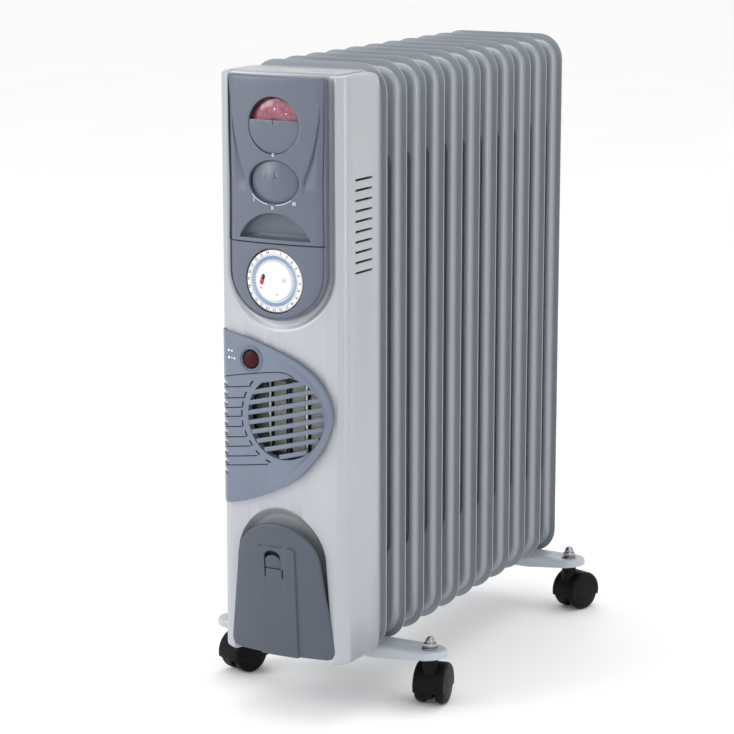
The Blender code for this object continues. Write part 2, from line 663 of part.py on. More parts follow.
def build_fan_cover():
    half, bottom, top = CASING_HALF_FRONT + 0.003, FAN_COVER_BOTTOM, FAN_COVER_TOP
    cover = crowned_slab("fan_grille", half, GAP, FAN_COVER_RISE, bottom, top, "panel_plastic")
    boolean(cover, prism("fan_outline", fan_outline(), -0.30, -0.20), "INTERSECT")
    outer_x = -CASING_HALF_BACK - 0.0035
    start_y = front_y(CASING_HALF_FRONT, FAN_COVER_RISE)
    side_y = CASING_EDGE_Y
    middle = (FAN_COVER_TOP + FAN_COVER_BOTTOM) / 2
    half_tall = (FAN_COVER_TOP - FAN_COVER_BOTTOM) / 2
    side = [(start_y, FAN_COVER_TOP), (start_y, FAN_COVER_BOTTOM)]
    side += arc((side_y, middle), (FAN_SIDE_REACH, half_tall), -90, 90, 12)
    boolean(cover, prism("fan_side", side, outer_x, -CASING_HALF_BACK - GAP, "X"), "UNION")

    slope = math.tan(SLAT_TILT)
    for number in range(SLOT_COUNT):
        z = FAN_Z + (number - (SLOT_COUNT - 1) / 2) * SLAT_PITCH
        reach = FAN_OPENING_RADIUS
        off = (z - FAN_Z) * math.cos(SLAT_TILT)
        half = math.sqrt(reach * reach - off * off) - 0.004
        middle_x = FAN_X - off * math.sin(SLAT_TILT)
        outline = slot_outline(z, middle_x - half, middle_x + half)
        boolean(cover, prism("fan_slot", outline, -0.30, -0.20))
    for number in range(SLOT_COUNT):
        z = FAN_Z + (number - (SLOT_COUNT - 1) / 2) * SLAT_PITCH - 0.060 * slope
        low = (-0.09, CASING_EDGE_Y + 0.014, z - SLOT_HEIGHT / 2)
        high = (-0.06, CASING_EDGE_Y + 0.032, z + SLOT_HEIGHT / 2)
        boolean(cover, block("side_slot", low, high))
    bezel_hole = circle((FAN_SWITCH.x, FAN_SWITCH.z), FAN_SWITCH_RADIUS + 0.0010, 16)
    boolean(cover, prism("bezel_hole", bezel_hole, -0.30, -0.20))


def build_fan_switch():
    """Round rocker switch in its bezel. The rocker tips about a level axis through its middle."""
    face = front_y(abs(FAN_SWITCH.x) - FAN_BEZEL_RADIUS, FAN_COVER_RISE)
    radius, hole = FAN_BEZEL_RADIUS, FAN_SWITCH_RADIUS + 0.0006
    bore = hole - 0.0015
    profile = [(bore, 0.0020), (radius - 0.002, 0.0020), (radius, 0.0008), (radius, GAP), (hole, GAP)]
    profile += [(hole, -0.0200), (0, -0.0200), (0, -0.0180), (bore, -0.0180)]
    bezel = turned("fan_switch_body", profile, 16, "switch_body", axis="Y")
    side = bore - 0.0006
    cap = [(0, 0.0008), (0.0060, 0.0004), (side, -0.0008), (side, -0.0050), (0.0050, -0.0100), (0, -0.0100)]
    rocker = turned("fan_switch", cap, 16, "switch_red", axis="Y")
    for item in (bezel, rocker):
        move(item, FAN_SWITCH.x, face, FAN_SWITCH.z)


def build_blower():
    """Drum of upright blades on the motor's shaft, and the heater strips ahead of it."""
    axis_y = CASING_EDGE_Y + BLOWER_AXIS_DEPTH
    foot, head = FAN_Z - BLOWER_FOOT, FAN_Z + BLOWER_HEAD
    blade = ((0.0, BLOWER_INNER), (0.18, BLOWER_OUTER), (0.42, BLOWER_OUTER), (0.50, BLOWER_INNER))
    outline = []
    for number in range(BLOWER_BLADES):
        for angle, radius in blade:
            turn = math.tau * (number + angle) / BLOWER_BLADES
            outline.append((radius * math.cos(turn), radius * math.sin(turn)))
    wheel = prism("blower_wheel", outline, foot, head, "Z", "blower_plastic")
    move(wheel, FAN_X, axis_y, 0)
    bore = prism("shaft_bore", circle((FAN_X, axis_y), 0.0028, 8), foot - 0.01, FAN_Z + 0.03, "Z")
    boolean(wheel, bore)
    shaft, shoulder, case = 0.0025, 0.0190, 0.0210
    profile = [(0, 0.030), (shaft, 0.030), (shaft, -0.004), (shoulder, -0.004)]
    profile += [(case, -0.007), (case, -0.036), (0, -0.036)]
    motor = turned("fan_motor", profile, 16, "zinc_steel")
    move(motor, FAN_X, axis_y, foot)

    front = CASING_EDGE_Y + 0.0040
    board = rounded_rectangle(HEATER_LOW, HEATER_HIGH, 0.002, 1)
    frame = prism("fan_heater", board, front, front + HEATER_THICK, finish="mica")
    middle = (HEATER_LOW[0] + HEATER_HIGH[0]) / 2
    bottom, top = HEATER_LOW[1] + HEATER_RIM, HEATER_HIGH[1] - HEATER_RIM
    for place in (-1.5, -0.5, 0.5, 1.5):
        x = middle + place * STRIP_PITCH
        low = (x - STRIP_GAP_HALF, -0.30, bottom)
        boolean(frame, block("heater_gap", low, (x + STRIP_GAP_HALF, -0.20, top)))
    disc = circle((0.030, 0.3700), 0.0080, 12)
    prism("thermal_cutout", disc, front, front + 0.012, finish="zinc_steel")


# ---------------------------------------------------------------- cord winder
def winder_outline():
    bottom = rounded_rectangle(
        (-WINDER_HALF_BOTTOM, WINDER_BOTTOM), (WINDER_HALF_BOTTOM, WINDER_BOTTOM + 0.020), 0.008, 3
    )
    feet = bottom[8:]
    top = arc((0, WINDER_SHOULDER_Z), (WINDER_HALF_TOP, WINDER_TOP - WINDER_SHOULDER_Z), 0, 180, 14)
    return top + feet


def build_winder():
    """Bell-shaped plate that leans out at the top, on a core that stands in the cove."""
    foot_y = CASING_EDGE_Y - CROWN
    half, back = WINDER_HALF_BOTTOM + 0.004, WINDER_RISE - WINDER_THICK
    plate = crowned_slab("winder_slab", half, back, WINDER_RISE, WINDER_BOTTOM - 0.002, WINDER_TOP + 0.002)
    boolean(plate, prism("winder_outline", winder_outline(), -0.30, -0.20), "INTERSECT")
    latch = rounded_rectangle((-0.0085, 0.1515), (0.0085, 0.1600), 0.003, 2)
    boolean(plate, prism("latch_window", latch, -0.30, -0.20))
    winder = copy_of("cord_winder", settled(plate), "winder_plastic")
    hinge = Matrix.Translation((0, foot_y, WINDER_BOTTOM))
    winder.data.transform(hinge @ Matrix.Rotation(WINDER_TILT, 4, "X") @ hinge.inverted())

    front = foot_y + WINDER_THICK / 2
    outline = rounded_rectangle(
        (-WINDER_CORE_HALF, WINDER_BOTTOM + 0.006), (WINDER_CORE_HALF, WINDER_CORE_TOP), 0.006, 2
    )
    core = prism("winder_core", outline, front, COVE_FLOOR_Y - GAP)
    for vert in core.data.vertices:
        if abs(vert.co.y - front) < GAP:
            vert.co.y -= (vert.co.z - WINDER_BOTTOM) * math.tan(WINDER_TILT)
    boolean(winder, core, "UNION")


# ---------------------------------------------------------------- brackets and casters
def bracket_outline(stem_x, inset):
    end = BRACKET_END - inset
    right = arc((stem_x, 0), (end, end), -90, 90, 8)
    left = arc((-stem_x, 0), (end, end), 90, 270, 8)
    return right + left


def build_bracket(name, stem_x, y):
    bracket = prism(name, bracket_outline(stem_x, 0), BRACKET_BOTTOM, BRACKET_TOP, "Z", "bracket_paint")
    ceiling = BRACKET_TOP - BRACKET_SHEET
    hollow = prism("tray", bracket_outline(stem_x, BRACKET_SHEET), BRACKET_BOTTOM - 0.01, ceiling, "Z")
    boolean(bracket, hollow)
    tip = stem_x + BRACKET_END + 0.002
    low = BRACKET_BOTTOM - 0.001
    for side in (-1, 1):
        taper = [(side * BRACKET_TAPER_X, low), (side * tip, low), (side * tip, BRACKET_BOTTOM + BRACKET_TAPER_RISE)]
        boolean(bracket, prism("lip_taper", taper, -0.03, 0.03))
    for place, radius in ((stem_x, PIN_RADIUS), (U_BOLT_HALF, U_BOLT_RADIUS)):
        for x in (-place, place):
            hole = prism("bracket_hole", circle((x, y), radius + GAP, 12), 0.03, 0.09, "Z")
            boolean(bracket, hole)
    hollow.location.y = y
    bracket.location.y = y


def build_u_bolt(name, y):
    """U-bolt over the lower header, with the two wing nuts that clamp the bracket to it."""
    legs = 0.040
    path = [(-U_BOLT_HALF, legs)] + arc((0, LOWER_HEADER_Z), (U_BOLT_HALF, U_BOLT_HALF), 180, 0, 10)
    path.append((U_BOLT_HALF, legs))
    curve = bpy.data.curves.new(name, "CURVE")
    curve.dimensions = "3D"
    curve.bevel_depth = U_BOLT_RADIUS
    curve.bevel_resolution = 1
    curve.use_fill_caps = True
    spline = curve.splines.new("POLY")
    spline.points.add(len(path) - 1)
    for point, (x, z) in zip(spline.points, path):
        point.co = (x, y, z, 1)
    rod = bpy.data.objects.new("u_bolt_rod", curve)
    bpy.context.scene.collection.objects.link(rod)
    bolt = copy_of(name, settled(rod), "zinc_steel")
    bpy.data.objects.remove(rod, do_unlink=True)
    sheet_bottom = BRACKET_TOP - BRACKET_SHEET - GAP
    for side in (-1, 1):
        x = side * U_BOLT_HALF
        hub = prism("wing_hub", circle((x, y), 0.0060, 10), sheet_bottom - 0.0085, sheet_bottom, "Z")
        boolean(bolt, hub, "UNION")
        low = (x - 0.0125, y - 0.0011, sheet_bottom - 0.0130)
        high = (x + 0.0125, y + 0.0011, sheet_bottom - 0.0030)
        boolean(bolt, block("wings", low, high), "UNION")


def wheel_mesh():
    """One wheel about X, with a rounded tread and a bore for the axle."""
    half, radius = WHEEL_WIDTH / 2, WHEEL_RADIUS
    profile = [(0.0030, -half), (radius - 0.003, -half), (radius, -half + 0.003), (radius, half - 0.003),
               (radius - 0.003, half), (0.0030, half)]
    wheel = turned("wheel_shape", profile, CASTER_SIDES)
    wheel.data.transform(Matrix.Rotation(math.radians(90), 4, "Y"))
    return wheel.data


def hood_mesh():
    """Hood about the stem: a web between the wheels, a fender over both and stub axles for them."""
    reach = CASTER_WEB / 2 + WHEEL_WIDTH + 0.0006
    axle = (CASTER_TRAIL, WHEEL_RADIUS)
    hood = prism("hood_shape", circle(axle, HOOD_RADIUS, CASTER_SIDES), -reach, reach, "X")
    for side in (-1, 1):
        ends = sorted((side * CASTER_WEB / 2, side * 0.03))
        well = circle(axle, WHEEL_RADIUS + 0.0008, CASTER_SIDES)
        boolean(hood, prism("wheel_well", well, ends[0], ends[1], "X"))
        ends = sorted((side * (CASTER_WEB / 2 - 0.0001), side * 0.03))
        boolean(hood, block("open_side", (ends[0], -0.05, -0.01), (ends[1], 0.05, 0.0150)))
    boolean(hood, block("open_foot", (-0.03, -0.05, -0.01), (0.03, 0.05, 0.0085)))
    boss = prism("stem_boss", circle((0, 0), 0.0070, 12), BOSS_FOOT, BOSS_TOP, "Z")
    boolean(hood, boss, "UNION")
    for side in (-1, 1):
        ends = sorted((side * 0.0020, side * (reach - 0.001)))
        boolean(hood, prism("stub_axle", circle(axle, 0.0026, 8), ends[0], ends[1], "X"), "UNION")
    boolean(hood, prism("stem_bore", circle((0, 0), PIVOT_RADIUS + GAP, 8), PIVOT_FOOT - 0.0005, 0.06, "Z"))
    return settled(hood)


def build_casters():
    wheel, hood = wheel_mesh(), hood_mesh()
    pin_top = BRACKET_TOP + 0.0085
    shoulder = BOSS_TOP + GAP
    pin = [(0, pin_top), (0.0034, pin_top), (PIN_RADIUS, BRACKET_TOP), (PIN_RADIUS, shoulder)]
    pin += [(PIVOT_RADIUS, shoulder), (PIVOT_RADIUS, PIVOT_FOOT), (0, PIVOT_FOOT)]
    nut_low = BRACKET_TOP + GAP
    for place, x, y, turn in CASTERS:
        stem = turned(f"caster_pin_{place}", pin, 12, "zinc_steel")
        move(stem, x, y, 0)
        hexagon = circle((0, 0), 0.0080, 6)
        nut = prism(f"cap_nut_{place}", hexagon, nut_low, nut_low + 0.0060, "Z", "chrome")
        cap = [(0, 0.0130), (0.0030, 0.0124), (0.0055, 0.0095), (0.0062, 0.0050), (0, 0.0050)]
        dome = turned("dome", cap, 12)
        bore = turned("nut_bore", [(0, 0.0092), (0.0043, 0.0088), (0.0043, -0.002), (0, -0.002)], 12)
        for tool in (dome, bore):
            move(tool, x, y, nut_low)
        boolean(nut, dome, "UNION")
        boolean(nut, bore)
        move(nut, x, y, 0)
        swivel = copy_of(f"caster_hood_{place}", hood, "caster_plastic")
        move(swivel, x, y, 0, turn)
        offset = CASTER_WEB / 2 + WHEEL_WIDTH / 2 + 0.0003
        for side, hand in ((-1, "left"), (1, "right")):
            roller = copy_of(f"wheel_{place}_{hand}", wheel, "caster_plastic")
            centre = Matrix.Rotation(turn, 3, "Z") @ Vector((side * offset, CASTER_TRAIL, WHEEL_RADIUS))
            move(roller, x + centre.x, y + centre.y, centre.z, turn)


def main():
    clear_scene()
    build_fins()
    build_header_ends()
    build_casing()
    build_cord_gland()
    build_control_panel()
    build_thermostat()
    build_selector()
    build_timer()
    build_fan_cover()
    build_fan_switch()
    build_blower()
    build_winder()
    build_bracket("front_bracket", FRONT_STEM_X, FRONT_BRACKET_Y)
    build_bracket("rear_bracket", REAR_STEM_X, REAR_BRACKET_Y)
    build_u_bolt("front_u_bolt", FRONT_BRACKET_Y)
    build_u_bolt("rear_u_bolt", REAR_BRACKET_Y)
    build_casters()


main()
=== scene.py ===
"""Oil filled radiator heater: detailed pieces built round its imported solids.

Metres, +Z up. The controls face -Y, the fins run back along +Y, and the floor is at z = 0.
"""

import math

import bmesh
import bpy
from mathutils import Matrix, Vector


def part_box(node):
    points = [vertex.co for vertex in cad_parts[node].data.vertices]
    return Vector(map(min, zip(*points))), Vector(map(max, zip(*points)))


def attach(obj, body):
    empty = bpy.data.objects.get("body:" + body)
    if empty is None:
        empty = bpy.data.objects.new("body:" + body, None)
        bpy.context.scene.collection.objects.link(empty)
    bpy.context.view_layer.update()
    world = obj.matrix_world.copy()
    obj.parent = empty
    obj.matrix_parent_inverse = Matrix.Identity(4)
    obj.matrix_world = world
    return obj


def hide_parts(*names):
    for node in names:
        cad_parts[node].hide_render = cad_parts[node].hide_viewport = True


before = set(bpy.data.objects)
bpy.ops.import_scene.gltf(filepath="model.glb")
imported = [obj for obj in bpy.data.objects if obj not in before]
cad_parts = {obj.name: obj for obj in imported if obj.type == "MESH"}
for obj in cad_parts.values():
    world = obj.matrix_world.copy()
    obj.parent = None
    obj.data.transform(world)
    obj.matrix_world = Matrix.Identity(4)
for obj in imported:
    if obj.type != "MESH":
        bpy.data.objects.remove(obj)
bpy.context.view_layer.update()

# ---------------------------------------------------------------- places and sizes, in metres
CASING_LOW, CASING_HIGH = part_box("front_casing")
CROWN = 0.008
EDGE_Y = CASING_LOW.y + CROWN
CASING_BACK = CASING_HIGH.y
CASING_HALF_FRONT = 0.069
CASING_HALF_BACK = CASING_HIGH.x
PANEL_LOW, PANEL_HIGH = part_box("control_panel")
PANEL_HALF = PANEL_HIGH.x
SPLIT_Z = PANEL_LOW.z
COVER_RISE = 0.008
FACE_Y = CASING_LOW.y - COVER_RISE
DIAL_LOW, DIAL_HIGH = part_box("timer_dial")
TIMER_Z = (DIAL_LOW.z + DIAL_HIGH.z) / 2
TIMER_RADIUS = DIAL_HIGH.x
TIMER_CENTRE = 0.0192
TIMER_PANEL_Z = 0.443
SLIDER_PLACE = (-0.0125, FACE_Y, TIMER_Z + 0.0010)
TAPPETS = 96
TAPPET_SIZE = (0.00072, 0.0013, 0.0036)
HOURS = 24
THERMOSTAT_Z = 0.5815
THERMOSTAT_RADIUS = 0.0272
CHORD = 0.0050
SELECTOR_Z = 0.5285
SELECTOR_HALF = (0.0272, 0.0208)
SELECTOR_SLOTS = (-0.0072, 0.0034)
FAN_MIDDLE = (0.008, 0.3020)
FAN_OPENING = 0.0400
FAN_RISE = 0.006
FAN_LOW, FAN_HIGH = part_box("fan_grille")
SLAT_TILT = math.radians(14)
SLAT_PITCH = 0.0097
SLATS = 9
NOTCHES = 10
FIRST_NOTCH_Z = 0.3284
SWITCH_LOW, SWITCH_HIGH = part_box("fan_switch")
SWITCH = (SWITCH_LOW + SWITCH_HIGH) / 2
WINDER_LOW, WINDER_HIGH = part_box("cord_winder")
WINDER_TILT = math.radians(4)
WINDER_TOP = 0.1985
STRIP_HALF = 0.0215
LATCH_X = -0.0035
COVE_DEPTH = 0.012
CASING_WALL = 0.0016
VENTS = 10
VENT_TOP_Z = 0.5305
VENT_PITCH = 0.0098
HEATER_STACKS = (0.0135, 0.0338, 0.0541, 0.0745)
HEATER_STRIPS = (0.0237, 0.0644)
HEATER_LEAVES = 30
FIN_LOW, FIN_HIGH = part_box("fin_01")
FIN_HALF = FIN_HIGH.x
FIN_TALL = FIN_HIGH.z - FIN_LOW.z
FIN_MIDDLE_Z = (FIN_HIGH.z + FIN_LOW.z) / 2
FIN_COUNT = 11
FIN_CORNER = 0.0277
FLANGE = 0.0055
FIN_RISE = 0.0070
U_BOLT_HALF = 0.0276
STEM_X = {"front_bracket": 0.1125, "rear_bracket": 0.1010}
CASTER_PLACES = ("front_right", "front_left", "rear_right", "rear_left")
CASTER_TURN = {"front_right": 10, "front_left": -20, "rear_right": -20, "rear_left": -5}
CASTER_TRAIL = 0.011
FENDER_HALF = 0.0161
FENDER_RADIUS = 0.0221
WELL_RADIUS = 0.0207
WHEEL_HALF = 0.0054
WHEEL_OFFSET = 0.0103
WHEEL_RADIUS = 0.020


def front_y(x, out=0.0):
    """Y of the casing's crowned front, moved outwards by a rise."""
    return EDGE_Y - CROWN * (1 - min(1.0, abs(x) / CASING_HALF_FRONT) ** 2) - out


# ---------------------------------------------------------------- finishes
def new_finish(name, colour, roughness, metallic=0.0):
    finish = bpy.data.materials.new(name)
    finish.use_nodes = True
    shader = finish.node_tree.nodes["Principled BSDF"]
    shader.inputs["Base Color"].default_value = (*colour, 1)
    shader.inputs["Roughness"].default_value = roughness
    shader.inputs["Metallic"].default_value = metallic
    return finish, shader


def node_of(finish, kind, **values):
    node = finish.node_tree.nodes.new(kind)
    for key, value in values.items():
        if key in node.inputs:
            node.inputs[key].default_value = value
        else:
            setattr(node, key, value)
    return node


def link(finish, start, end):
    finish.node_tree.links.new(start, end)


def noise(finish, place, scale, detail=2.0, stretch=None):
    """Noise on the piece's own coordinates, drawn out along an axis where a stretch is given."""
    source = place.outputs["Object"]
    if stretch:
        mapping = node_of(finish, "ShaderNodeMapping")
        mapping.inputs["Scale"].default_value = stretch
        link(finish, source, mapping.inputs["Vector"])
        source = mapping.outputs["Vector"]
    cloud = node_of(finish, "ShaderNodeTexNoise", Scale=scale, Detail=detail)
    link(finish, source, cloud.inputs["Vector"])
    return cloud


def ramp_between(finish, factor, low, high, first, last):
    ramp = node_of(finish, "ShaderNodeValToRGB")
    ramp.color_ramp.elements[0].position = low
    ramp.color_ramp.elements[1].position = high
    ramp.color_ramp.elements[0].color = (*first, 1)
    ramp.color_ramp.elements[1].color = (*last, 1)
    link(finish, factor, ramp.inputs["Fac"])
    return ramp


def roughness_from(finish, shader, factor, low, high):
    spread = node_of(finish, "ShaderNodeMapRange")
    spread.inputs["From Min"].default_value = 0.3
    spread.inputs["From Max"].default_value = 0.7
    spread.inputs["To Min"].default_value = low
    spread.inputs["To Max"].default_value = high
    link(finish, factor, spread.inputs["Value"])
    link(finish, spread.outputs["Result"], shader.inputs["Roughness"])


def bump_from(finish, shader, layers):
    """Bumps from several height sources, each (output, strength, depth in metres)."""
    previous = None
    for height, strength, depth in layers:
        bump = node_of(finish, "ShaderNodeBump", Strength=strength, Distance=depth)
        link(finish, height, bump.inputs["Height"])
        if previous:
            link(finish, previous.outputs["Normal"], bump.inputs["Normal"])
        previous = bump
    link(finish, previous.outputs["Normal"], shader.inputs["Normal"])


def shade(colour, amount):
    return tuple(min(1.0, max(0.0, part * amount)) for part in colour)


def enamel(name, colour, roughness, flake, peel=900.0, coat=0.3, metallic=0.0):
    """Sprayed enamel: faint clouding, a fine metallic speck, orange peel and patchy gloss."""
    finish, shader = new_finish(name, colour, roughness, metallic)
    place = node_of(finish, "ShaderNodeTexCoord")
    cloud = noise(finish, place, 9.0, 3.0)
    tone = ramp_between(finish, cloud.outputs["Fac"], 0.3, 0.7, shade(colour, 0.965), shade(colour, 1.03))
    speck = noise(finish, place, 4200.0, 1.0)
    glint = ramp_between(finish, speck.outputs["Fac"], 0.42, 0.66, shade(colour, 1 - flake),
                         shade(colour, 1 + flake))
    blend = node_of(finish, "ShaderNodeMix", data_type="RGBA", blend_type="MIX")
    blend.inputs["Factor"].default_value = 0.5
    link(finish, tone.outputs["Color"], blend.inputs[6])
    link(finish, glint.outputs["Color"], blend.inputs[7])
    link(finish, blend.outputs[2], shader.inputs["Base Color"])
    skin = noise(finish, place, peel, 2.0)
    smear = noise(finish, place, 38.0, 4.0)
    roughness_from(finish, shader, smear.outputs["Fac"], roughness - 0.04, roughness + 0.07)
    bump_from(finish, shader, [(skin.outputs["Fac"], 0.06, 0.0002)])
    shader.inputs["Coat Weight"].default_value = coat
    shader.inputs["Coat Roughness"].default_value = 0.22
    return finish


def moulding(name, colour, roughness, grain=2600.0, depth=0.00006, cloudy=0.05, sheen=0.0):
    """Moulded plastic: a fine spark-eroded grain, slight flow marks and small changes of gloss."""
    finish, shader = new_finish(name, colour, roughness)
    place = node_of(finish, "ShaderNodeTexCoord")
    cloud = noise(finish, place, 22.0, 4.0, (1.0, 1.0, 0.5))
    tone = ramp_between(finish, cloud.outputs["Fac"], 0.3, 0.7, shade(colour, 1 - cloudy),
                        shade(colour, 1 + cloudy))
    link(finish, tone.outputs["Color"], shader.inputs["Base Color"])
    fine = noise(finish, place, grain, 2.0)
    broad = noise(finish, place, 140.0, 3.0)
    roughness_from(finish, shader, broad.outputs["Fac"], roughness - 0.05, roughness + 0.06)
    bump_from(finish, shader, [(broad.outputs["Fac"], 0.05, 0.0004), (fine.outputs["Fac"], 0.35, depth)])
    if sheen:
        shader.inputs["Coat Weight"].default_value = sheen
        shader.inputs["Coat Roughness"].default_value = 0.3
    return finish


def plated(name, colour, roughness, along=(1.0, 1.0, 1.0), scratch=0.12):
    """Plated metal: fine drawn lines and breath of haze over a bright base."""
    finish, shader = new_finish(name, colour, roughness, 1.0)
    place = node_of(finish, "ShaderNodeTexCoord")
    lines = noise(finish, place, 700.0, 3.0, along)
    haze = noise(finish, place, 60.0, 3.0)
    tone = ramp_between(finish, haze.outputs["Fac"], 0.3, 0.75, shade(colour, 0.88), shade(colour, 1.06))
    link(finish, tone.outputs["Color"], shader.inputs["Base Color"])
    roughness_from(finish, shader, haze.outputs["Fac"], max(0.04, roughness - 0.04), roughness + 0.08)
    bump_from(finish, shader, [(lines.outputs["Fac"], scratch, 0.00006)])
    return finish


def red_lens():
    """Dark red clear plastic with a rippled back and painted highlights: each ripple's colour is lighter at
    its middle, darker at its rim.
    """
    colour = (0.27, 0.080, 0.120)
    finish, shader = new_finish("lens_red", colour, 0.16)
    place = node_of(finish, "ShaderNodeTexCoord")
    ripples_and_painted_glints = node_of(finish, "ShaderNodeTexVoronoi", Scale=230.0)
    link(finish, place.outputs["Object"], ripples_and_painted_glints.inputs["Vector"])
    # Painted highlights: the colour is lighter at the middle of each ripple cell; the bump from the same
    # ripples is real.
    tone = ramp_between(finish, ripples_and_painted_glints.outputs["Distance"], 0.1, 0.8, shade(colour, 1.35),
                        shade(colour, 0.75))
    link(finish, tone.outputs["Color"], shader.inputs["Base Color"])
    cloud = noise(finish, place, 60.0)
    roughness_from(finish, shader, cloud.outputs["Fac"], 0.12, 0.26)
    bump_from(finish, shader, [(ripples_and_painted_glints.outputs["Distance"], 0.25, 0.0004)])
    shader.inputs["Coat Weight"].default_value = 0.6
    shader.inputs["Coat Roughness"].default_value = 0.06
    return finish


def ribbed_red():
    """Deep red rocker with a fine cross grid moulded under its gloss."""
    colour = (0.034, 0.005, 0.006)
    finish, shader = new_finish("rocker_red", colour, 0.2)
    place = node_of(finish, "ShaderNodeTexCoord")
    heights = []
    for direction in ("X", "Z"):
        wave = node_of(finish, "ShaderNodeTexWave", Scale=330.0)
        wave.bands_direction = direction
        link(finish, place.outputs["Object"], wave.inputs["Vector"])
        heights.append(wave)
    lines = node_of(finish, "ShaderNodeMath", operation="MAXIMUM")
    link(finish, heights[0].outputs["Fac"], lines.inputs[0])
    link(finish, heights[1].outputs["Fac"], lines.inputs[1])
    tone = ramp_between(finish, lines.outputs["Value"], 0.3, 1.0, shade(colour, 0.6), shade(colour, 1.6))
    link(finish, tone.outputs["Color"], shader.inputs["Base Color"])
    cloud = noise(finish, place, 200.0)
    roughness_from(finish, shader, cloud.outputs["Fac"], 0.16, 0.3)
    bump_from(finish, shader, [(lines.outputs["Value"], 0.3, 0.0002)])
    shader.inputs["Specular IOR Level"].default_value = 0.12
    return finish


SILVER = enamel("casing_paint", (0.385, 0.402, 0.434), 0.36, 0.05, metallic=0.30)
FIN_GREY = enamel("fin_paint", (0.270, 0.294, 0.325), 0.32, 0.04, peel=900.0, coat=0.5, metallic=0.20)
BRACKET_WHITE = enamel("bracket_paint", (0.40, 0.435, 0.485), 0.36, 0.02)
SLATE = moulding("panel_plastic", (0.093, 0.109, 0.149), 0.40, sheen=0.15)
SLATE_FAN = moulding("fan_cover_plastic", (0.128, 0.158, 0.212), 0.40, sheen=0.15)
SLATE_WINDER = moulding("winder_plastic", (0.050, 0.063, 0.088), 0.42, sheen=0.10)
SLATE_KNOB = moulding("knob_plastic", (0.090, 0.111, 0.152), 0.36, sheen=0.15)
BLACK = moulding("caster_plastic", (0.0045, 0.0045, 0.0048), 0.45, grain=1500.0, depth=0.00012, cloudy=0.25)
BLACK.node_tree.nodes["Principled BSDF"].inputs["Specular IOR Level"].default_value = 0.10
PLAIN_BLACK = moulding("black_plastic", (0.035, 0.035, 0.037), 0.55, cloudy=0.12)
WHITE = moulding("dial_white", (0.73, 0.73, 0.73), 0.36, cloudy=0.015, depth=0.00003)
BLUE = moulding("tappet_blue", (0.16, 0.27, 0.47), 0.4, cloudy=0.08)
PALE_PRINT = moulding("white_print", (0.80, 0.82, 0.85), 0.5, cloudy=0.03)
DARK_PRINT = moulding("dark_print", (0.03, 0.03, 0.035), 0.5, cloudy=0.1)
RED = moulding("switch_red", (0.42, 0.025, 0.03), 0.3, cloudy=0.06, sheen=0.3)
HEATER_GREY = plated("heater_fins", (0.40, 0.41, 0.36), 0.5, (1.0, 1.0, 6.0), 0.3)
STRIP_LIGHT = plated("electrode_strip", (0.72, 0.72, 0.70), 0.35, (1.0, 1.0, 0.2))
BLOWER_GREY = moulding("blower_plastic", (0.22, 0.23, 0.22), 0.5, cloudy=0.1)
CHROME = plated("chrome", (0.34, 0.34, 0.35), 0.09, (0.3, 0.3, 1.0), 0.05)
ZINC = plated("zinc_steel", (0.55, 0.56, 0.56), 0.32, (0.2, 1.0, 1.0))
LENS = red_lens()
ROCKER = ribbed_red()


# ---------------------------------------------------------------- making pieces
def arc(centre, radii, start, end, steps):
    points = []
    for step in range(steps + 1):
        angle = math.radians(start + (end - start) * step / steps)
        points.append((centre[0] + radii[0] * math.cos(angle), centre[1] + radii[1] * math.sin(angle)))
    return points


def ring_of(centre, radii, steps=64):
    return arc(centre, radii, 0, 360, steps)[:-1]


def rounded(low, high, radius, steps=6):
    points = []
    corners = ((high[0], high[1], 0, -1, -1), (low[0], high[1], 90, 1, -1), (low[0], low[1], 180, 1, 1),
               (high[0], low[1], 270, -1, 1))
    for x, z, start, in_x, in_z in corners:
        points += arc((x + in_x * radius, z + in_z * radius), (radius, radius), start, start + 90, steps)
    return points


def smooth_curve(points, steps=6):
    """Points of a smooth closed-off run through the given ones (Catmull-Rom)."""
    run = [points[0]] + list(points) + [points[-1]]
    result = []
    for i in range(1, len(run) - 2):
        a, b, c, d = (Vector(run[i + k]) for k in (-1, 0, 1, 2))
        for step in range(steps):
            t = step / steps
            result.append(tuple(0.5 * (2 * b + (c - a) * t + (2 * a - 5 * b + 4 * c - d) * t * t
                                       + (3 * b - a - 3 * c + d) * t ** 3)))
    result.append(tuple(run[-2]))
    return result


def pushed(bm, face, vec):
    """Draws a face out along a vector, keeps the first face, and gives back what was made."""
    made = bmesh.ops.extrude_face_region(bm, geom=[face], use_keep_orig=True)["geom"]
    bmesh.ops.translate(bm, verts=[item for item in made if isinstance(item, bmesh.types.BMVert)], vec=vec)
    bmesh.ops.recalc_face_normals(bm, faces=bm.faces)
    return made


def rim_bevel(bm, edges, width, steps):
    bmesh.ops.bevel(bm, geom=edges, offset=width, segments=steps, profile=0.5, affect="EDGES", material=-1)


def slab(outline, back, front, rim=0.0, rim_steps=4, back_rim=0.0):
    """An outline in XZ pushed from its back to its front along -Y, with rounded rims."""
    bm = bmesh.new()
    face = bm.faces.new([bm.verts.new((x, back, z)) for x, z in outline])
    pushed(bm, face, (0, front - back, 0))
    for level, width in ((front, rim), (back, back_rim)):
        if width:
            edges = [edge for edge in bm.edges if all(abs(vert.co.y - level) < 1e-7 for vert in edge.verts)]
            rim_bevel(bm, edges, width, rim_steps)
    return bm


def slice_at(bm, stops, axis=0):
    normal = [0, 0, 0]
    normal[axis] = 1
    for stop in stops:
        place = [0, 0, 0]
        place[axis] = stop
        bmesh.ops.bisect_plane(bm, geom=bm.verts[:] + bm.edges[:] + bm.faces[:], plane_co=place,
                               plane_no=normal)
    return bm


def evenly(low, high, count):
    return [low + (high - low) * (step + 0.5) / count for step in range(count)]


def crown(bm):
    """Lays a flat-backed shape on the casing's crowned front: y counts from the casing's surface."""
    for vert in bm.verts:
        vert.co.y += front_y(vert.co.x)
    return bm


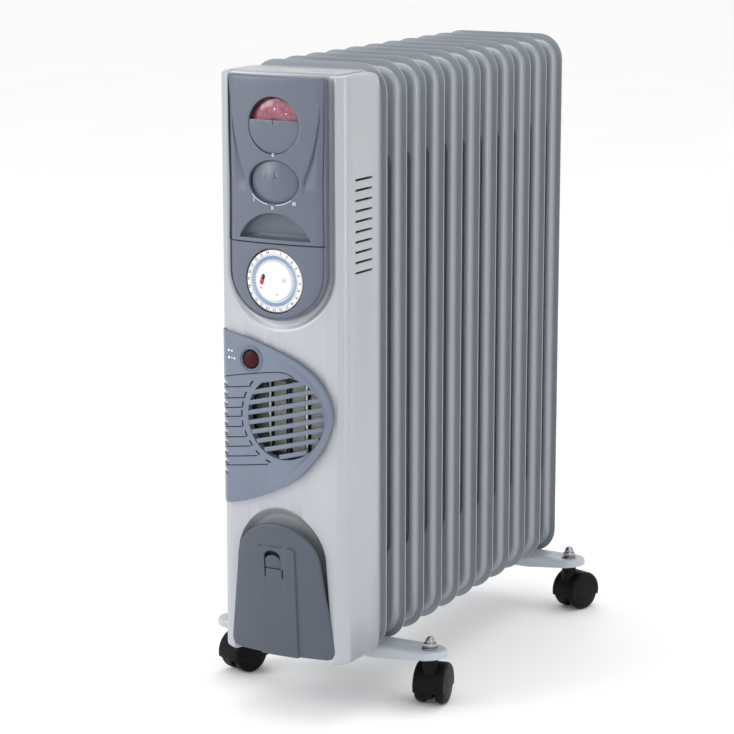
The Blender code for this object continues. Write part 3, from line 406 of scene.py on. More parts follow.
def spun(profile, steps=64, axis="Y"):
    """A closed (radius, height) profile spun round Z, or round Y with its top towards -Y."""
    bm = bmesh.new()
    ring = [bm.verts.new((radius, 0, height)) for radius, height in profile]
    edges = [bm.edges.new((ring[i], ring[(i + 1) % len(ring)])) for i in range(len(ring))]
    bmesh.ops.spin(bm, geom=ring + edges, cent=(0, 0, 0), axis=(0, 0, 1), angle=math.tau, steps=steps,
                   use_merge=True)
    bmesh.ops.remove_doubles(bm, verts=bm.verts, dist=1e-7)
    bmesh.ops.dissolve_degenerate(bm, edges=bm.edges, dist=1e-7)
    bmesh.ops.delete(bm, geom=[edge for edge in bm.edges if not edge.link_faces], context="EDGES")
    if axis == "Y":
        bmesh.ops.rotate(bm, verts=bm.verts, matrix=Matrix.Rotation(math.radians(90), 3, "X"))
    if axis == "X":
        bmesh.ops.rotate(bm, verts=bm.verts, matrix=Matrix.Rotation(math.radians(90), 3, "Y"))
    bmesh.ops.recalc_face_normals(bm, faces=bm.faces)
    return bm


def moved(bm, x=0.0, y=0.0, z=0.0):
    bmesh.ops.translate(bm, verts=bm.verts, vec=(x, y, z))
    return bm


def turned_by(bm, degrees, axis, centre=(0, 0, 0)):
    bmesh.ops.rotate(bm, verts=bm.verts, cent=centre, matrix=Matrix.Rotation(math.radians(degrees), 3,
                                                                             axis))
    return bm


def joined(parts):
    """Several bmeshes in one."""
    whole = bmesh.new()
    for part in parts:
        mesh = bpy.data.meshes.new("part")
        part.to_mesh(mesh)
        part.free()
        whole.from_mesh(mesh)
        bpy.data.meshes.remove(mesh)
    return whole


def raw_object(name, bm):
    bmesh.ops.recalc_face_normals(bm, faces=bm.faces)
    mesh = bpy.data.meshes.new(name)
    bm.to_mesh(mesh)
    bm.free()
    obj = bpy.data.objects.new(name, mesh)
    bpy.context.scene.collection.objects.link(obj)
    return obj


def mesh_now(obj):
    """An object's mesh with its modifiers carried out."""
    return bpy.data.meshes.new_from_object(obj.evaluated_get(bpy.context.evaluated_depsgraph_get()))


def taken_from(obj):
    """The shape of a helper object as a bmesh. The helper goes."""
    bm = bmesh.new()
    bm.from_mesh(obj.data)
    bpy.data.objects.remove(obj)
    return bm


def brick(size, place=(0, 0, 0)):
    bm = bmesh.new()
    bmesh.ops.create_cube(bm, size=1.0)
    bmesh.ops.scale(bm, verts=bm.verts, vec=size)
    return moved(bm, *place)


def laid_on(bm, y_of):
    """Lays a flat shape on a face whose Y is given at each place."""
    for vert in bm.verts:
        vert.co.y += y_of(vert.co.x, vert.co.z)
    return bm


def cut(obj, tools, operation="DIFFERENCE", soften=0.0, soften_steps=2, angle=40):
    """Carries out cuts on an object, then rounds the sharp edges that are left."""
    helpers = []
    for tool in tools:
        helper = raw_object("tool", tool)
        helpers.append(helper)
        modifier = obj.modifiers.new("cut", "BOOLEAN")
        modifier.operation = operation
        modifier.solver = "EXACT"
        modifier.object = helper
    if soften:
        rounding = obj.modifiers.new("soften", "BEVEL")
        rounding.width = soften
        rounding.segments = soften_steps
        rounding.limit_method = "ANGLE"
        rounding.angle_limit = math.radians(angle)
    result = mesh_now(obj)
    obj.modifiers.clear()
    obj.data = result
    for helper in helpers:
        bpy.data.objects.remove(helper)
    return obj


def fit(obj, finish, body, stands_for=(), angle=35):
    """Gives a piece its finish, shading, body and the solids that it stands for."""
    obj.data.materials.clear()
    obj.data.materials.append(finish)
    obj.data.shade_smooth()
    obj.data.set_sharp_from_angle(angle=math.radians(angle))
    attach(obj, body)
    if stands_for:
        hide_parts(*stands_for)
    return obj


def piece(name, bm, finish, body="radiator", stands_for=(), angle=35):
    return fit(raw_object(name, bm), finish, body, stands_for, angle)


# ---------------------------------------------------------------- fins
FIN_X = (0.0740, 0.0728, 0.0715, 0.0700, 0.0685, 0.0681, 0.0676, 0.0669, 0.0660, 0.0649, 0.0636, 0.0622,
         0.0612, 0.0602,
         0.0592, 0.0582, 0.0574, 0.0566, 0.0560, 0.0548, 0.0520, 0.0470, 0.0420, 0.0370, 0.0330, 0.0312,
         0.0300, 0.0288,
         0.0276, 0.0262, 0.0246, 0.0200, 0.0100)
FIN_Z = (0.0, 0.0020, 0.0040, 0.0055, 0.0059, 0.0064, 0.0071, 0.0080, 0.0091, 0.0104, 0.0118, 0.0140,
         0.0175, 0.0215, 0.0277,
         0.0400, 0.0560, 0.0700, 0.0790, 0.0820, 0.0840, 0.0858, 0.0872, 0.0886, 0.0900, 0.0915, 0.0930,
         0.0950, 0.0970,
         0.0990, 0.1010, 0.1040, 0.1080, 0.1200, 0.1600, 0.2200)
SHOULDER = 0.0065
VALLEY_X = (0.0290, 0.0600)
VALLEY_INSET = 0.086


def fin_height(x, z):
    """How far a pressed fin stands out from its sheet at a place measured from its middle."""
    half, tall = FIN_HALF, FIN_TALL / 2
    over_x = max(0.0, abs(x) - (half - FIN_CORNER))
    over_z = max(0.0, abs(z) - (tall - FIN_CORNER))
    inside = min(half - abs(x), tall - abs(z))
    if over_x and over_z:
        inside = FIN_CORNER - math.hypot(over_x, over_z)
    rise = max(0.0, min(1.0, (inside - FLANGE) / SHOULDER))
    swell = math.sqrt(max(0.0, 1 - (1 - rise) ** 2))
    middle = (VALLEY_X[0] + VALLEY_X[1]) / 2
    half_wide = (VALLEY_X[1] - VALLEY_X[0]) / 2
    half_long = tall - VALLEY_INSET - half_wide
    reach = math.hypot(abs(x) - middle, max(0.0, abs(z) - half_long)) - half_wide
    dip = max(0.0, min(1.0, 0.35 - reach / 0.0040))
    dip = dip * dip * (3 - 2 * dip)
    return FIN_RISE * swell * (1 - 0.93 * dip)


def fin_side():
    """One side of a fin as a grid whose lines are moved to where the pressing bends."""
    xs = sorted(set([-x for x in FIN_X] + [0.0] + list(FIN_X)))
    zs = sorted(set([FIN_TALL / 2 - z for z in FIN_Z] + [0.0] + [z - FIN_TALL / 2 for z in FIN_Z]))
    bm = bmesh.new()
    bmesh.ops.create_grid(bm, x_segments=len(xs) - 1, y_segments=len(zs) - 1, size=1.0)
    for vert in bm.verts:
        column = round((vert.co.x + 1) / 2 * (len(xs) - 1))
        row = round((vert.co.y + 1) / 2 * (len(zs) - 1))
        x, z = xs[column], zs[row]
        over_x = (abs(x) - (FIN_HALF - FIN_CORNER)) / FIN_CORNER
        over_z = (abs(z) - (FIN_TALL / 2 - FIN_CORNER)) / FIN_CORNER
        if over_x > 0 and over_z > 0:
            shrink = max(over_x, over_z) / math.hypot(over_x, over_z)
            x = math.copysign(FIN_HALF - FIN_CORNER + FIN_CORNER * over_x * shrink, x)
            z = math.copysign(FIN_TALL / 2 - FIN_CORNER + FIN_CORNER * over_z * shrink, z)
        vert.co = (x, -0.0007 - fin_height(x, z), z)
    return bm


def fin_bmesh():
    bm = fin_side()
    made = bmesh.ops.duplicate(bm, geom=bm.verts[:] + bm.edges[:] + bm.faces[:])["geom"]
    twins = [item for item in made if isinstance(item, bmesh.types.BMVert)]
    bmesh.ops.scale(bm, verts=twins, vec=(1, -1, 1))
    rim = [edge for edge in bm.edges if edge.is_boundary]
    bmesh.ops.bridge_loops(bm, edges=rim)
    bmesh.ops.recalc_face_normals(bm, faces=bm.faces)
    return bm


def collar_profile():
    """Pressed collar of a header: a fillet off the fin, a neck and a rolled weld lip."""
    return [(0.0190, 0.0), (0.0300, 0.0), (0.0300, 0.0068), (0.0278, 0.0074), (0.0258, 0.0092),
            (0.0246, 0.0120),
            (0.0240, 0.0150), (0.0240, 0.0186), (0.0247, 0.0192), (0.0247, 0.0200), (0.0190, 0.0200)]


def build_fins():
    pressing = fin_bmesh()
    for end in (-1, 1):
        for side in (-1, 1):
            collar = spun(collar_profile(), 40)
            if side > 0:
                bmesh.ops.rotate(collar, verts=collar.verts, matrix=Matrix.Rotation(math.pi, 3, "Z"))
            moved(collar, 0, 0, end * (FIN_TALL / 2 - 0.044))
            pressing = joined([pressing, collar])
    mesh = bpy.data.meshes.new("fin")
    pressing.to_mesh(mesh)
    pressing.free()
    for number in range(FIN_COUNT):
        name = f"fin_{number + 1:02d}"
        low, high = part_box(name)
        bm = bmesh.new()
        bm.from_mesh(mesh)
        moved(bm, 0, (low.y + high.y) / 2, FIN_MIDDLE_Z)
        piece(f"{name}_pressed", bm, FIN_GREY, stands_for=[name], angle=50)
    bpy.data.meshes.remove(mesh)


def build_header_ends():
    """Pressed end caps of the headers."""
    for node in ("header_plug_front_top", "header_plug_rear_top", "header_plug_rear_bottom"):
        low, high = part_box(node)
        outwards = low.y if "front" in node else high.y
        radius = 0.0212
        cap = spun([(0, 0.0), (radius - 0.004, 0.0), (radius - 0.001, -0.0008), (radius, -0.0040),
                    (0, -0.0040)], 48)
        if "rear" in node:
            turned_by(cap, 180, "Z")
        moved(cap, 0, outwards, (low.z + high.z) / 2)
        piece(f"{node}_cap", cap, FIN_GREY, stands_for=[node])


# ---------------------------------------------------------------- casing
def casing_outline(inset=0.0):
    """Plan of the casing: crowned front, rounded front corners, sides that widen to the back."""
    half_front, half_back = CASING_HALF_FRONT - inset, CASING_HALF_BACK - inset
    radius = 0.009 - inset
    flat = half_front - radius
    front = [(x, front_y(x, -inset)) for x in (flat * step / 16 for step in range(-16, 17))]
    right = arc((flat, EDGE_Y + 0.009), (radius, radius), -72, 0, 8)
    left = arc((-flat, EDGE_Y + 0.009), (radius, radius), 180, 252, 8)
    back = CASING_BACK + (0.01 if inset else 0)
    return left + front + right + [(half_back, back), (-half_back, back)]


def plan_block(outline, bottom, top, rim=0.0, rim_steps=5):
    bm = bmesh.new()
    face = bm.faces.new([bm.verts.new((x, y, bottom)) for x, y in outline])
    pushed(bm, face, (0, 0, top - bottom))
    if rim:
        edges = [edge for edge in bm.edges if abs(edge.verts[0].co.z - edge.verts[1].co.z) < 1e-7]
        rim_bevel(bm, edges, rim, rim_steps)
    return bm


def eased(part):
    """A smooth run from 0 to 1 that starts and ends level."""
    return part * part * (3 - 2 * part)


def sloped_cutter(outline, depth, slope, steps=4):
    """A cutter whose wall slopes in and rounds off into its floor. Depth counts from the crowned surface."""
    bm = bmesh.new()
    face = bm.faces.new([bm.verts.new((x, -0.012, z)) for x, z in outline])
    floor = [item for item in pushed(bm, face, (0, 0.012, 0)) if isinstance(item, bmesh.types.BMFace)]
    for step in range(steps):
        start, end = (eased((step + k) / steps) for k in (0, 1))
        bmesh.ops.inset_region(bm, faces=floor, thickness=slope / steps, depth=depth * (end - start),
                               use_even_offset=True)
    return bm


def winder_cove(grow=0.0):
    top_half, shoulder, foot = 0.0520 + grow, 0.160, 0.0605 + grow
    top = WINDER_TOP + 0.0150 - shoulder + grow
    return arc((0, shoulder), (top_half, top), 0, 180, 36) + [(-foot, CASING_LOW.z - 0.012),
                                                              (foot, CASING_LOW.z - 0.012)]


def panel_dish():
    """Shallow dish pressed into the casing all round the two panels."""
    half = PANEL_HALF + 0.0078
    return arc((0, TIMER_PANEL_Z), (half, 0.0590), 180, 360, 40) + [(half, CASING_HIGH.z + 0.02),
                                                                    (-half, CASING_HIGH.z + 0.02)]


def build_casing():
    casing = raw_object("casing_shell", plan_block(casing_outline(), CASING_LOW.z, CASING_HIGH.z, 0.0045))
    profile = [(y, z) for y, z in rounded((CASING_LOW.y - 0.03, CASING_LOW.z), (CASING_BACK, CASING_HIGH.z),
                                          0.013, 8)]
    keep = bmesh.new()
    pushed(keep, keep.faces.new([keep.verts.new((-0.1, y, z)) for y, z in profile]), (0.2, 0, 0))
    cut(casing, [keep], "INTERSECT")
    cove = sloped_cutter(winder_cove(), COVE_DEPTH + CROWN, 0.0105, 8)
    for vert in cove.verts:
        if vert.co.y > 0:
            vert.co.y *= 0.32 + 0.68 * eased(min(1.0, max(0.0, (0.205 - vert.co.z) / 0.050)))
    moved(cove, 0, EDGE_Y - CROWN, 0)
    dish = crown(slice_at(sloped_cutter(panel_dish(), 0.0030, 0.0072, 8), evenly(-0.06, 0.06, 24)))
    cut(casing, [cove, dish])
    inside = plan_block(casing_outline(CASING_WALL + 0.0030), CASING_LOW.z + 0.004, CASING_HIGH.z - 0.004)
    inside_object = raw_object("inside", inside)
    cut(inside_object, [slab(winder_cove(CASING_WALL), EDGE_Y + COVE_DEPTH + CASING_WALL, -0.30)])
    hollow = taken_from(inside_object)
    panel_hole = arc((0, TIMER_PANEL_Z), (0.044, 0.040), 180, 360, 20) + [(0.044, CASING_HIGH.z - 0.016),
                                                                          (-0.044, CASING_HIGH.z - 0.016)]
    through = [slab(panel_hole, EDGE_Y + 0.02, -0.30)]
    through.append(slab(ring_of(FAN_MIDDLE, (0.0420, 0.0420), 40), EDGE_Y + 0.02, -0.30))
    through.append(slab(ring_of((SWITCH.x, SWITCH.z), (0.0112, 0.0112), 24), EDGE_Y + 0.02, -0.30))
    vents = []
    for side in (-1, 1):
        for number in range(VENTS):
            z = VENT_TOP_Z - number * VENT_PITCH
            middle = EDGE_Y + 0.0335
            vent = slab(rounded((-0.0158, -0.00115), (0.0158, 0.00115), 0.0010, 3), -0.012, 0.012)
            turned_by(vent, 90, "Z")
            vents.append(moved(vent, side * 0.0705, middle, z))
    cut(casing, [hollow] + through + vents, soften=0.0004, angle=50)
    fit(casing, SILVER, "radiator", ["front_casing"], 40)


def build_top_plate():
    """Grey plate on the casing's top, with three moulded slots."""
    raised = slab(rounded((-0.0600, -0.0245), (0.0600, 0.0245), 0.005), 0.0, -0.0012, 0.0008, 3)
    turned_by(raised, -90, "X")
    middle = EDGE_Y + 0.0275
    plate = raw_object("top_plate", moved(raised, 0, middle, CASING_HIGH.z - 0.0001))
    tools = []
    for x, y, half in ((-0.006, -0.017, 0.005), (0.030, -0.004, 0.012), (-0.034, 0.008, 0.012)):
        slot = slab(rounded((x - half, y - 0.0012), (x + half, y + 0.0012), 0.001, 2), 0.002, -0.004)
        turned_by(slot, -90, "X")
        tools.append(moved(slot, 0, middle, CASING_HIGH.z))
    cut(plate, tools, soften=0.0002)
    fit(plate, FIN_GREY, "radiator", angle=25)


# ---------------------------------------------------------------- control panel
CREASE = (0.0400, 0.0408)
RIDGE_X = 0.0440


def crease_x(z):
    """Half-width of the raised shield: widest near the top, drawn in to the selector's window."""
    fall = min(1.0, max(0.0, (0.6060 - z) / 0.0745))
    return 0.0466 - 0.0158 * fall ** 2.1


def flute_weight(z):
    """1 where the flutes beside the shield are at their full depth, 0 where they have run out."""
    top = min(1.0, max(0.0, (0.6080 - z) / 0.0300))
    foot = min(1.0, max(0.0, (z - 0.5180) / 0.0120))
    return top * foot


def draw_in(x, z):
    """Moves the columns on either side of the crease so that they follow it up the panel."""
    side = abs(x)
    place = crease_x(z)
    first, second = CREASE
    if side <= first:
        side = side * place / first
    elif side <= second:
        side = place + (side - first)
    else:
        start = place + (second - first)
        side = start + (side - second) * (PANEL_HALF - start) / (PANEL_HALF - second)
    return math.copysign(side, x)


def panel_depth(x, z):
    """How far the panel's face lies behind its crown: a flute beside the shield, then a rolled side."""
    side = abs(x)
    place = crease_x(z)
    edge = min(1.0, max(0.0, (side - RIDGE_X) / (PANEL_HALF - RIDGE_X)))
    roll = 0.0042 * edge ** 1.6 * min(1.0, max(0.0, (PANEL_HIGH.z - z) / 0.040) + 0.35)
    if side <= place + 0.00002:
        return 0.0
    across = (side - place) / max(0.002, RIDGE_X - place)
    flute = 0.0028 * flute_weight(z) * max(0.0, 1.0 - across) ** 0.7
    return flute + roll


def sculpt(bm, front, depth_of):
    """Sinks a slab's face by a depth given at each place."""
    for vert in bm.verts:
        if abs(vert.co.y - front) < 0.0012:
            vert.co.y += depth_of(vert.co.x, vert.co.z)
    return bm


SIDE_STOPS = [0.0060, 0.0130, 0.0200, 0.0270, 0.0330, 0.0370, CREASE[0], CREASE[1]] + [0.0418 + 0.0011 * k
                                                                                       for k in range(10)]
PANEL_STOPS = sorted([-stop for stop in SIDE_STOPS] + [0.0] + SIDE_STOPS)


def half_moon(half, height, bottom, steps=24):
    radius = (half * half + height * height) / (2 * height)
    angle = math.degrees(math.asin(half / radius))
    return arc((0, bottom + height - radius), (radius, radius), 90 - angle, 90 + angle, steps)


def recess_cutter():
    """Half-moon finger recess with a scooped floor that rises to its straight lower lip."""
    return slab(half_moon(0.0390, 0.0255, SPLIT_Z + 0.0037), FACE_Y + 0.0118, -0.30, 0.0, 4, 0.0040)


def build_control_panel():
    low, high = PANEL_LOW, PANEL_HIGH
    outline = [(-PANEL_HALF, low.z), (PANEL_HALF, low.z)] + arc((PANEL_HALF - 0.006, high.z - 0.006),
                                                                (0.006, 0.006), 0, 90, 6)
    outline += arc((-PANEL_HALF + 0.006, high.z - 0.006), (0.006, 0.006), 90, 180, 6)
    bm = slab(outline, -0.0003, -COVER_RISE, 0.0036, 6)
    for vert in bm.verts:
        if vert.co.z < low.z + 0.0045 and vert.co.z > low.z:
            vert.co.z = low.z + (vert.co.z - low.z) * 0.12
    slice_at(bm, PANEL_STOPS)
    slice_at(bm, evenly(SPLIT_Z + 0.004, 0.622, 44), 2)
    for vert in bm.verts:
        fade = min(1.0, max(0.0, (vert.co.z - SPLIT_Z - 0.006) / 0.030))
        vert.co.x += (draw_in(vert.co.x, vert.co.z) - vert.co.x) * fade
    sculpt(bm, -COVER_RISE, panel_depth)
    crown(bm)
    panel = raw_object("upper_panel", bm)
    well = slab(ring_of((0, THERMOSTAT_Z), (THERMOSTAT_RADIUS, THERMOSTAT_RADIUS), 72), -0.22, -0.30)
    window = slab(ring_of((0, SELECTOR_Z), SELECTOR_HALF, 72), -0.22, -0.30)
    cup = slab(half_moon(0.0408, 0.0291, SPLIT_Z + 0.0020), FACE_Y + 0.0143, EDGE_Y - 0.0100)
    cut(panel, [cup], "UNION")
    cut(panel, [well, window, recess_cutter()], soften=0.0005, angle=62)
    fit(panel, SLATE, "radiator", ["control_panel"], 42)


def build_timer_panel():
    half, drop = PANEL_HALF, 0.0470
    outline = arc((0, TIMER_PANEL_Z), (half, drop), 180, 360, 48) + [(half, SPLIT_Z - 0.0004),
                                                                     (-half, SPLIT_Z - 0.0004)]
    bm = slab(outline, -0.0003, -COVER_RISE, 0.0045, 6)
    for vert in bm.verts:
        if vert.co.z > SPLIT_Z - 0.0055:
            vert.co.z = SPLIT_Z - 0.0004 - (SPLIT_Z - 0.0004 - vert.co.z) * 0.12
    slice_at(bm, PANEL_STOPS)
    slice_at(bm, evenly(0.394, SPLIT_Z - 0.004, 16), 2)

    def edge_roll(x, z):
        from_middle = math.hypot(x, min(0.0, z - TIMER_PANEL_Z) * half / drop)
        return 0.0030 * min(1.0, max(0.0, (from_middle - 0.0430) / 0.0095)) ** 1.5

    sculpt(bm, -COVER_RISE, edge_roll)
    crown(bm)
    panel = raw_object("lower_panel", bm)
    well = slab(ring_of((0, TIMER_Z), (TIMER_RADIUS + 0.0014, TIMER_RADIUS + 0.0014), 80), -0.20, -0.30)
    cut(panel, [well], soften=0.0006, angle=55)
    fit(panel, SLATE, "radiator", ["timer_panel"], 42)


def print_strip(name, outlines, y_of, finish, body="radiator", thick=0.00012):
    """Thin shapes laid on a face: printed marks, and the painted highlights on the thermostat's lens."""
    parts = []
    for outline in outlines:
        parts.append(laid_on(slab(outline, 0.0, -thick), y_of))
    return piece(name, joined(parts), finish, body)


def bar(start, end, width):
    a, b = Vector(start), Vector(end)
    across = Vector((-(b - a).y, (b - a).x)).normalized() * width / 2
    return [tuple(a + across), tuple(a - across), tuple(b - across), tuple(b + across)]


def build_thermostat():
    radius = THERMOSTAT_RADIUS - 0.0004
    profile = [(0, 0.0002), (0.012, 0.0000), (0.020, -0.0005), (radius - 0.0006, -0.0010),
               (radius - 0.0001, -0.0013), (radius, -0.0020),
               (radius, -0.0060), (0, -0.0060)]
    knob = raw_object("thermostat_disc", moved(spun(profile, 96), 0, FACE_Y + 0.0003, THERMOSTAT_Z))
    window = slab([(-0.04, THERMOSTAT_Z + CHORD), (0.04, THERMOSTAT_Z + CHORD), (0.04, 0.62),
                   (-0.04, 0.62)], FACE_Y + 0.0075, -0.30)
    tick = slab(rounded((-0.0005, THERMOSTAT_Z + CHORD - 0.0040), (0.0003, THERMOSTAT_Z + CHORD + 0.001),
                        0.0002, 1), FACE_Y + 0.0009, -0.30)
    cut(knob, [window, tick], soften=0.00035, angle=45)
    fit(knob, SLATE_KNOB, "thermostat_dial", ["thermostat_knob"])
    # Painted highlights: two small pale spots laid on the lens stand in for reflections of the lamps.
    marks = [ring_of((-0.0012, 0.5965), (0.0007, 0.0011), 12),
             ring_of((0.0112, 0.5925), (0.0009, 0.0006), 12)]
    print_strip("lens_glints", marks, lambda x, z: FACE_Y + 0.0058, PALE_PRINT)
    lens = spun([(0.0048, -0.0066), (0.012, -0.0060), (0.0235, -0.0062), (0.0258, -0.0069),
                 (0.0267, -0.0080), (0.0267, -0.0096), (0.0048, -0.0096)], 72)
    piece("lens_disc", moved(lens, 0, FACE_Y, THERMOSTAT_Z), LENS, stands_for=["pilot_lens"])
    # Painted shadow: a thin black sleeve lines the knob's well, so a dark ring shows round the knob and lens
    # where the gap lies in shade.
    shadow_sleeve = spun([(0.0269, 0.0002), (0.0273, 0.0002), (0.0273, -0.0100), (0.0269, -0.0100)], 72)
    for vert in shadow_sleeve.verts:
        if vert.co.y < -0.001 + 0.0015:
            vert.co.y = front_y(vert.co.x, COVER_RISE) - FACE_Y + 0.0003
    piece("lens_well_painted_shadow", moved(shadow_sleeve, 0, FACE_Y, THERMOSTAT_Z), PLAIN_BLACK)


def build_selector():
    top = FACE_Y - 0.0023
    dome = [(0, 0.0), (0.0060, -0.0004), (0.0100, -0.0010), (0.0150, -0.0024), (0.0180, -0.0037),
            (0.0208, -0.0050), (0.0236, -0.0060)]
    profile = dome + [(0.0252, -0.0067), (0.0256, -0.0073), (0.0256, -0.0084), (0, -0.0084)]
    knob = raw_object("selector_dome", moved(spun(profile, 96), 0, top, SELECTOR_Z))
    slots = []
    for x in SELECTOR_SLOTS:
        slots.append(slab(rounded((x - 0.0010, SELECTOR_Z + 0.0036), (x + 0.0010, SELECTOR_Z + 0.0106),
                                  0.0009, 4), top + 0.0020, -0.30))
    cut(knob, slots, soften=0.0003, angle=45)
    fit(knob, SLATE_KNOB, "selector_dial", ["selector_knob"])
    lights = []
    for x in SELECTOR_SLOTS:
        lights.append(slab(rounded((x - 0.0009, SELECTOR_Z + 0.0038), (x + 0.0009, SELECTOR_Z + 0.0104),
                                   0.0008, 4), top + 0.0025, top + 0.0012, 0.0003, 2))
    piece("selector_lights", joined(lights), LENS, "selector_dial")
    ridge = slab(rounded((-0.0007, -0.0170), (0.0007, 0.0170), 0.0006, 3), 0.004, 0.0, 0.0004, 2)
    slice_at(ridge, evenly(-0.017, 0.017, 14), 2)
    for vert in ridge.verts:
        vert.co.y += 0.0052 * (abs(vert.co.z) / 0.0208) ** 1.95 - 0.00018
    piece("selector_ridge", moved(ridge, 0, top, SELECTOR_Z), SLATE_KNOB, "selector_dial")
    # Painted shade: a black sheet behind the selector's window shows as a dark ring in the gap round the
    # dome.
    back = slab(ring_of((0, SELECTOR_Z), (0.0300, 0.0225), 48), FACE_Y + 0.0124, FACE_Y + 0.0118)
    piece("selector_painted_shadow", back, PLAIN_BLACK)


def glyph_text(body, size, thick=0.0001):
    """A short generic number or letter as a mesh, lying in XZ and facing -Y."""
    curve = bpy.data.curves.new("glyph", "FONT")
    curve.body = body
    curve.size = size
    curve.align_x = "CENTER"
    curve.align_y = "CENTER"
    curve.extrude = thick / 2
    curve.resolution_u = 3
    text = bpy.data.objects.new("glyph", curve)
    bpy.context.scene.collection.objects.link(text)
    bm = bmesh.new()
    bm.from_mesh(mesh_now(text))
    bpy.data.objects.remove(text)
    bmesh.ops.remove_doubles(bm, verts=bm.verts, dist=1e-6)
    bmesh.ops.rotate(bm, verts=bm.verts, matrix=Matrix.Rotation(math.radians(90), 3, "X"))
    return bm


def on_cover(x, z):
    return front_y(x, COVER_RISE) - 0.0001


def build_panel_marks():
    parts = []
    for body, x, z in (("0", 0.0, 0.5540), ("I", -0.0215, 0.5105), ("II", -0.0010, 0.5040),
                       ("III", 0.0220, 0.5092)):
        parts.append(laid_on(moved(glyph_text(body, 0.0048), x, 0, z), on_cover))
    for start, end in ((218, 258), (276, 310)):
        outer = arc((0, SELECTOR_Z + 0.0025), (0.0300, 0.0245), start, end, 14)
        inner = arc((0, SELECTOR_Z + 0.0025), (0.0296, 0.0241), end, start, 14)
        parts.append(laid_on(slab(outer + inner, 0.0, -0.00012), on_cover))
    piece("panel_marks", joined(parts), PALE_PRINT)


def build_timer_ring():
    """The timer's turning ring, with its blue tappets, ticks and hour numbers."""
    face = FACE_Y
    outer = TIMER_RADIUS
    ring = [(0.0196, -0.0030), (0.0196, -0.0012), (0.0250, -0.0012), (0.0252, -0.0004),
            (outer - 0.0012, -0.0009), (outer - 0.0003, -0.0016),
            (outer, -0.0028), (outer, -0.0075), (0.0196, -0.0075)]
    piece("timer_ring", moved(spun(ring, 120), 0, face, TIMER_Z), WHITE, "timer_ring", ["timer_dial"])
    tappets = []
    for number in range(TAPPETS):
        tooth = brick(TAPPET_SIZE)
        for vert in tooth.verts:
            if vert.co.y < 0 and vert.co.z < 0:
                vert.co.y += 0.0005
        moved(tooth, 0, 0.0010, 0.0224)
        turned_by(tooth, 360 * number / TAPPETS, "Y")
        tappets.append(moved(tooth, 0, face, TIMER_Z))
    piece("timer_tappets", joined(tappets), BLUE, "timer_ring")
    marks = []
    for number in range(TAPPETS):
        tick = slab(bar((0, 0.0262), (0, 0.0254), 0.0004), 0.0, -0.00012)
        turned_by(tick, 360 * number / TAPPETS, "Y")
        marks.append(moved(tick, 0, face + 0.0005, TIMER_Z))
    for number in range(HOURS):
        glyph = glyph_text(str(number + 1), 0.0036)
        moved(glyph, 0, 0.0, outer - 0.0025)
        turned_by(glyph, 360 * number / HOURS, "Y")
        marks.append(moved(glyph, 0, face + 0.0005, TIMER_Z))
    piece("timer_numbers", joined(marks), DARK_PRINT, "timer_ring")


def build_timer_centre():
    """The timer's fixed centre, with its slider, slot and printed symbols."""
    face = FACE_Y
    centre = TIMER_CENTRE
    body = [(0, 0.0), (centre - 0.0008, 0.0), (centre, -0.0008), (centre, -0.0080), (0.0310, -0.0080),
            (0.0310, -0.036), (0, -0.036)]
    disc = raw_object("timer_centre", moved(spun(body, 96), 0, face, TIMER_Z))
    slot = turned_by(slab(rounded((-0.0022, -0.0054), (0.0022, 0.0054), 0.0020, 4), 0.004, -0.02), 15, "Y")
    groove = slab(ring_of((0, 0), (0.0156, 0.0156), 64), 0.00025, -0.02)
    core = slab(ring_of((0, 0), (0.0153, 0.0153), 64), 0.01, -0.03)
    groove_object = raw_object("groove", groove)
    cut(groove_object, [core])
    cut(disc, [moved(slot, *SLIDER_PLACE), moved(taken_from(groove_object), 0, face, TIMER_Z)])
    fit(disc, WHITE, "radiator", ["timer_body"])
    lever = slab(rounded((-0.0018, -0.0050), (0.0018, 0.0002), 0.0012, 4), 0.0036, 0.0001, 0.0004, 2)
    turned_by(lever, 15, "Y")
    piece("timer_slider_cap", moved(lever, *SLIDER_PLACE), RED, "timer_slider", ["timer_switch"])
    pit = turned_by(slab(rounded((-0.0021, -0.0053), (0.0021, 0.0053), 0.0019, 4), 0.0040, 0.0037), 15, "Y")
    piece("slider_slot_floor", moved(pit, *SLIDER_PLACE), PLAIN_BLACK)
    symbols = [ring_of((-0.0140, TIMER_Z - 0.0072), (0.0008, 0.0008), 12),
               ring_of((0.0035, TIMER_Z - 0.0125), (0.0007, 0.0007), 12)]
    symbols.append(bar((0.0105, TIMER_Z + 0.0005), (0.0118, TIMER_Z + 0.0024), 0.0005))
    for start in range(0, 360, 60):
        outer_arc = arc((0.0111, TIMER_Z + 0.0015), (0.0021, 0.0021), start, start + 44, 5)
        inner_arc = arc((0.0111, TIMER_Z + 0.0015), (0.0018, 0.0018), start + 44, start, 5)
        symbols.append(outer_arc + inner_arc)
    print_strip("timer_symbols", symbols, lambda x, z: face - 0.00005, DARK_PRINT)


# ---------------------------------------------------------------- fan cover
FAN_EDGE = [(-0.0735, 0.3815), (-0.052, 0.3795), (-0.0275, 0.3752), (0.0, 0.3672), (0.0200, 0.3590),
            (0.0365, 0.3485), (0.0480, 0.3360),
            (0.0555, 0.3210), (0.0578, 0.3075), (0.0560, 0.2940), (0.0480, 0.2750), (0.0340, 0.2565),
            (0.0170, 0.2405), (-0.0060, 0.2275),
            (-0.0300, 0.2180), (-0.052, 0.2118), (-0.0735, 0.2095)]


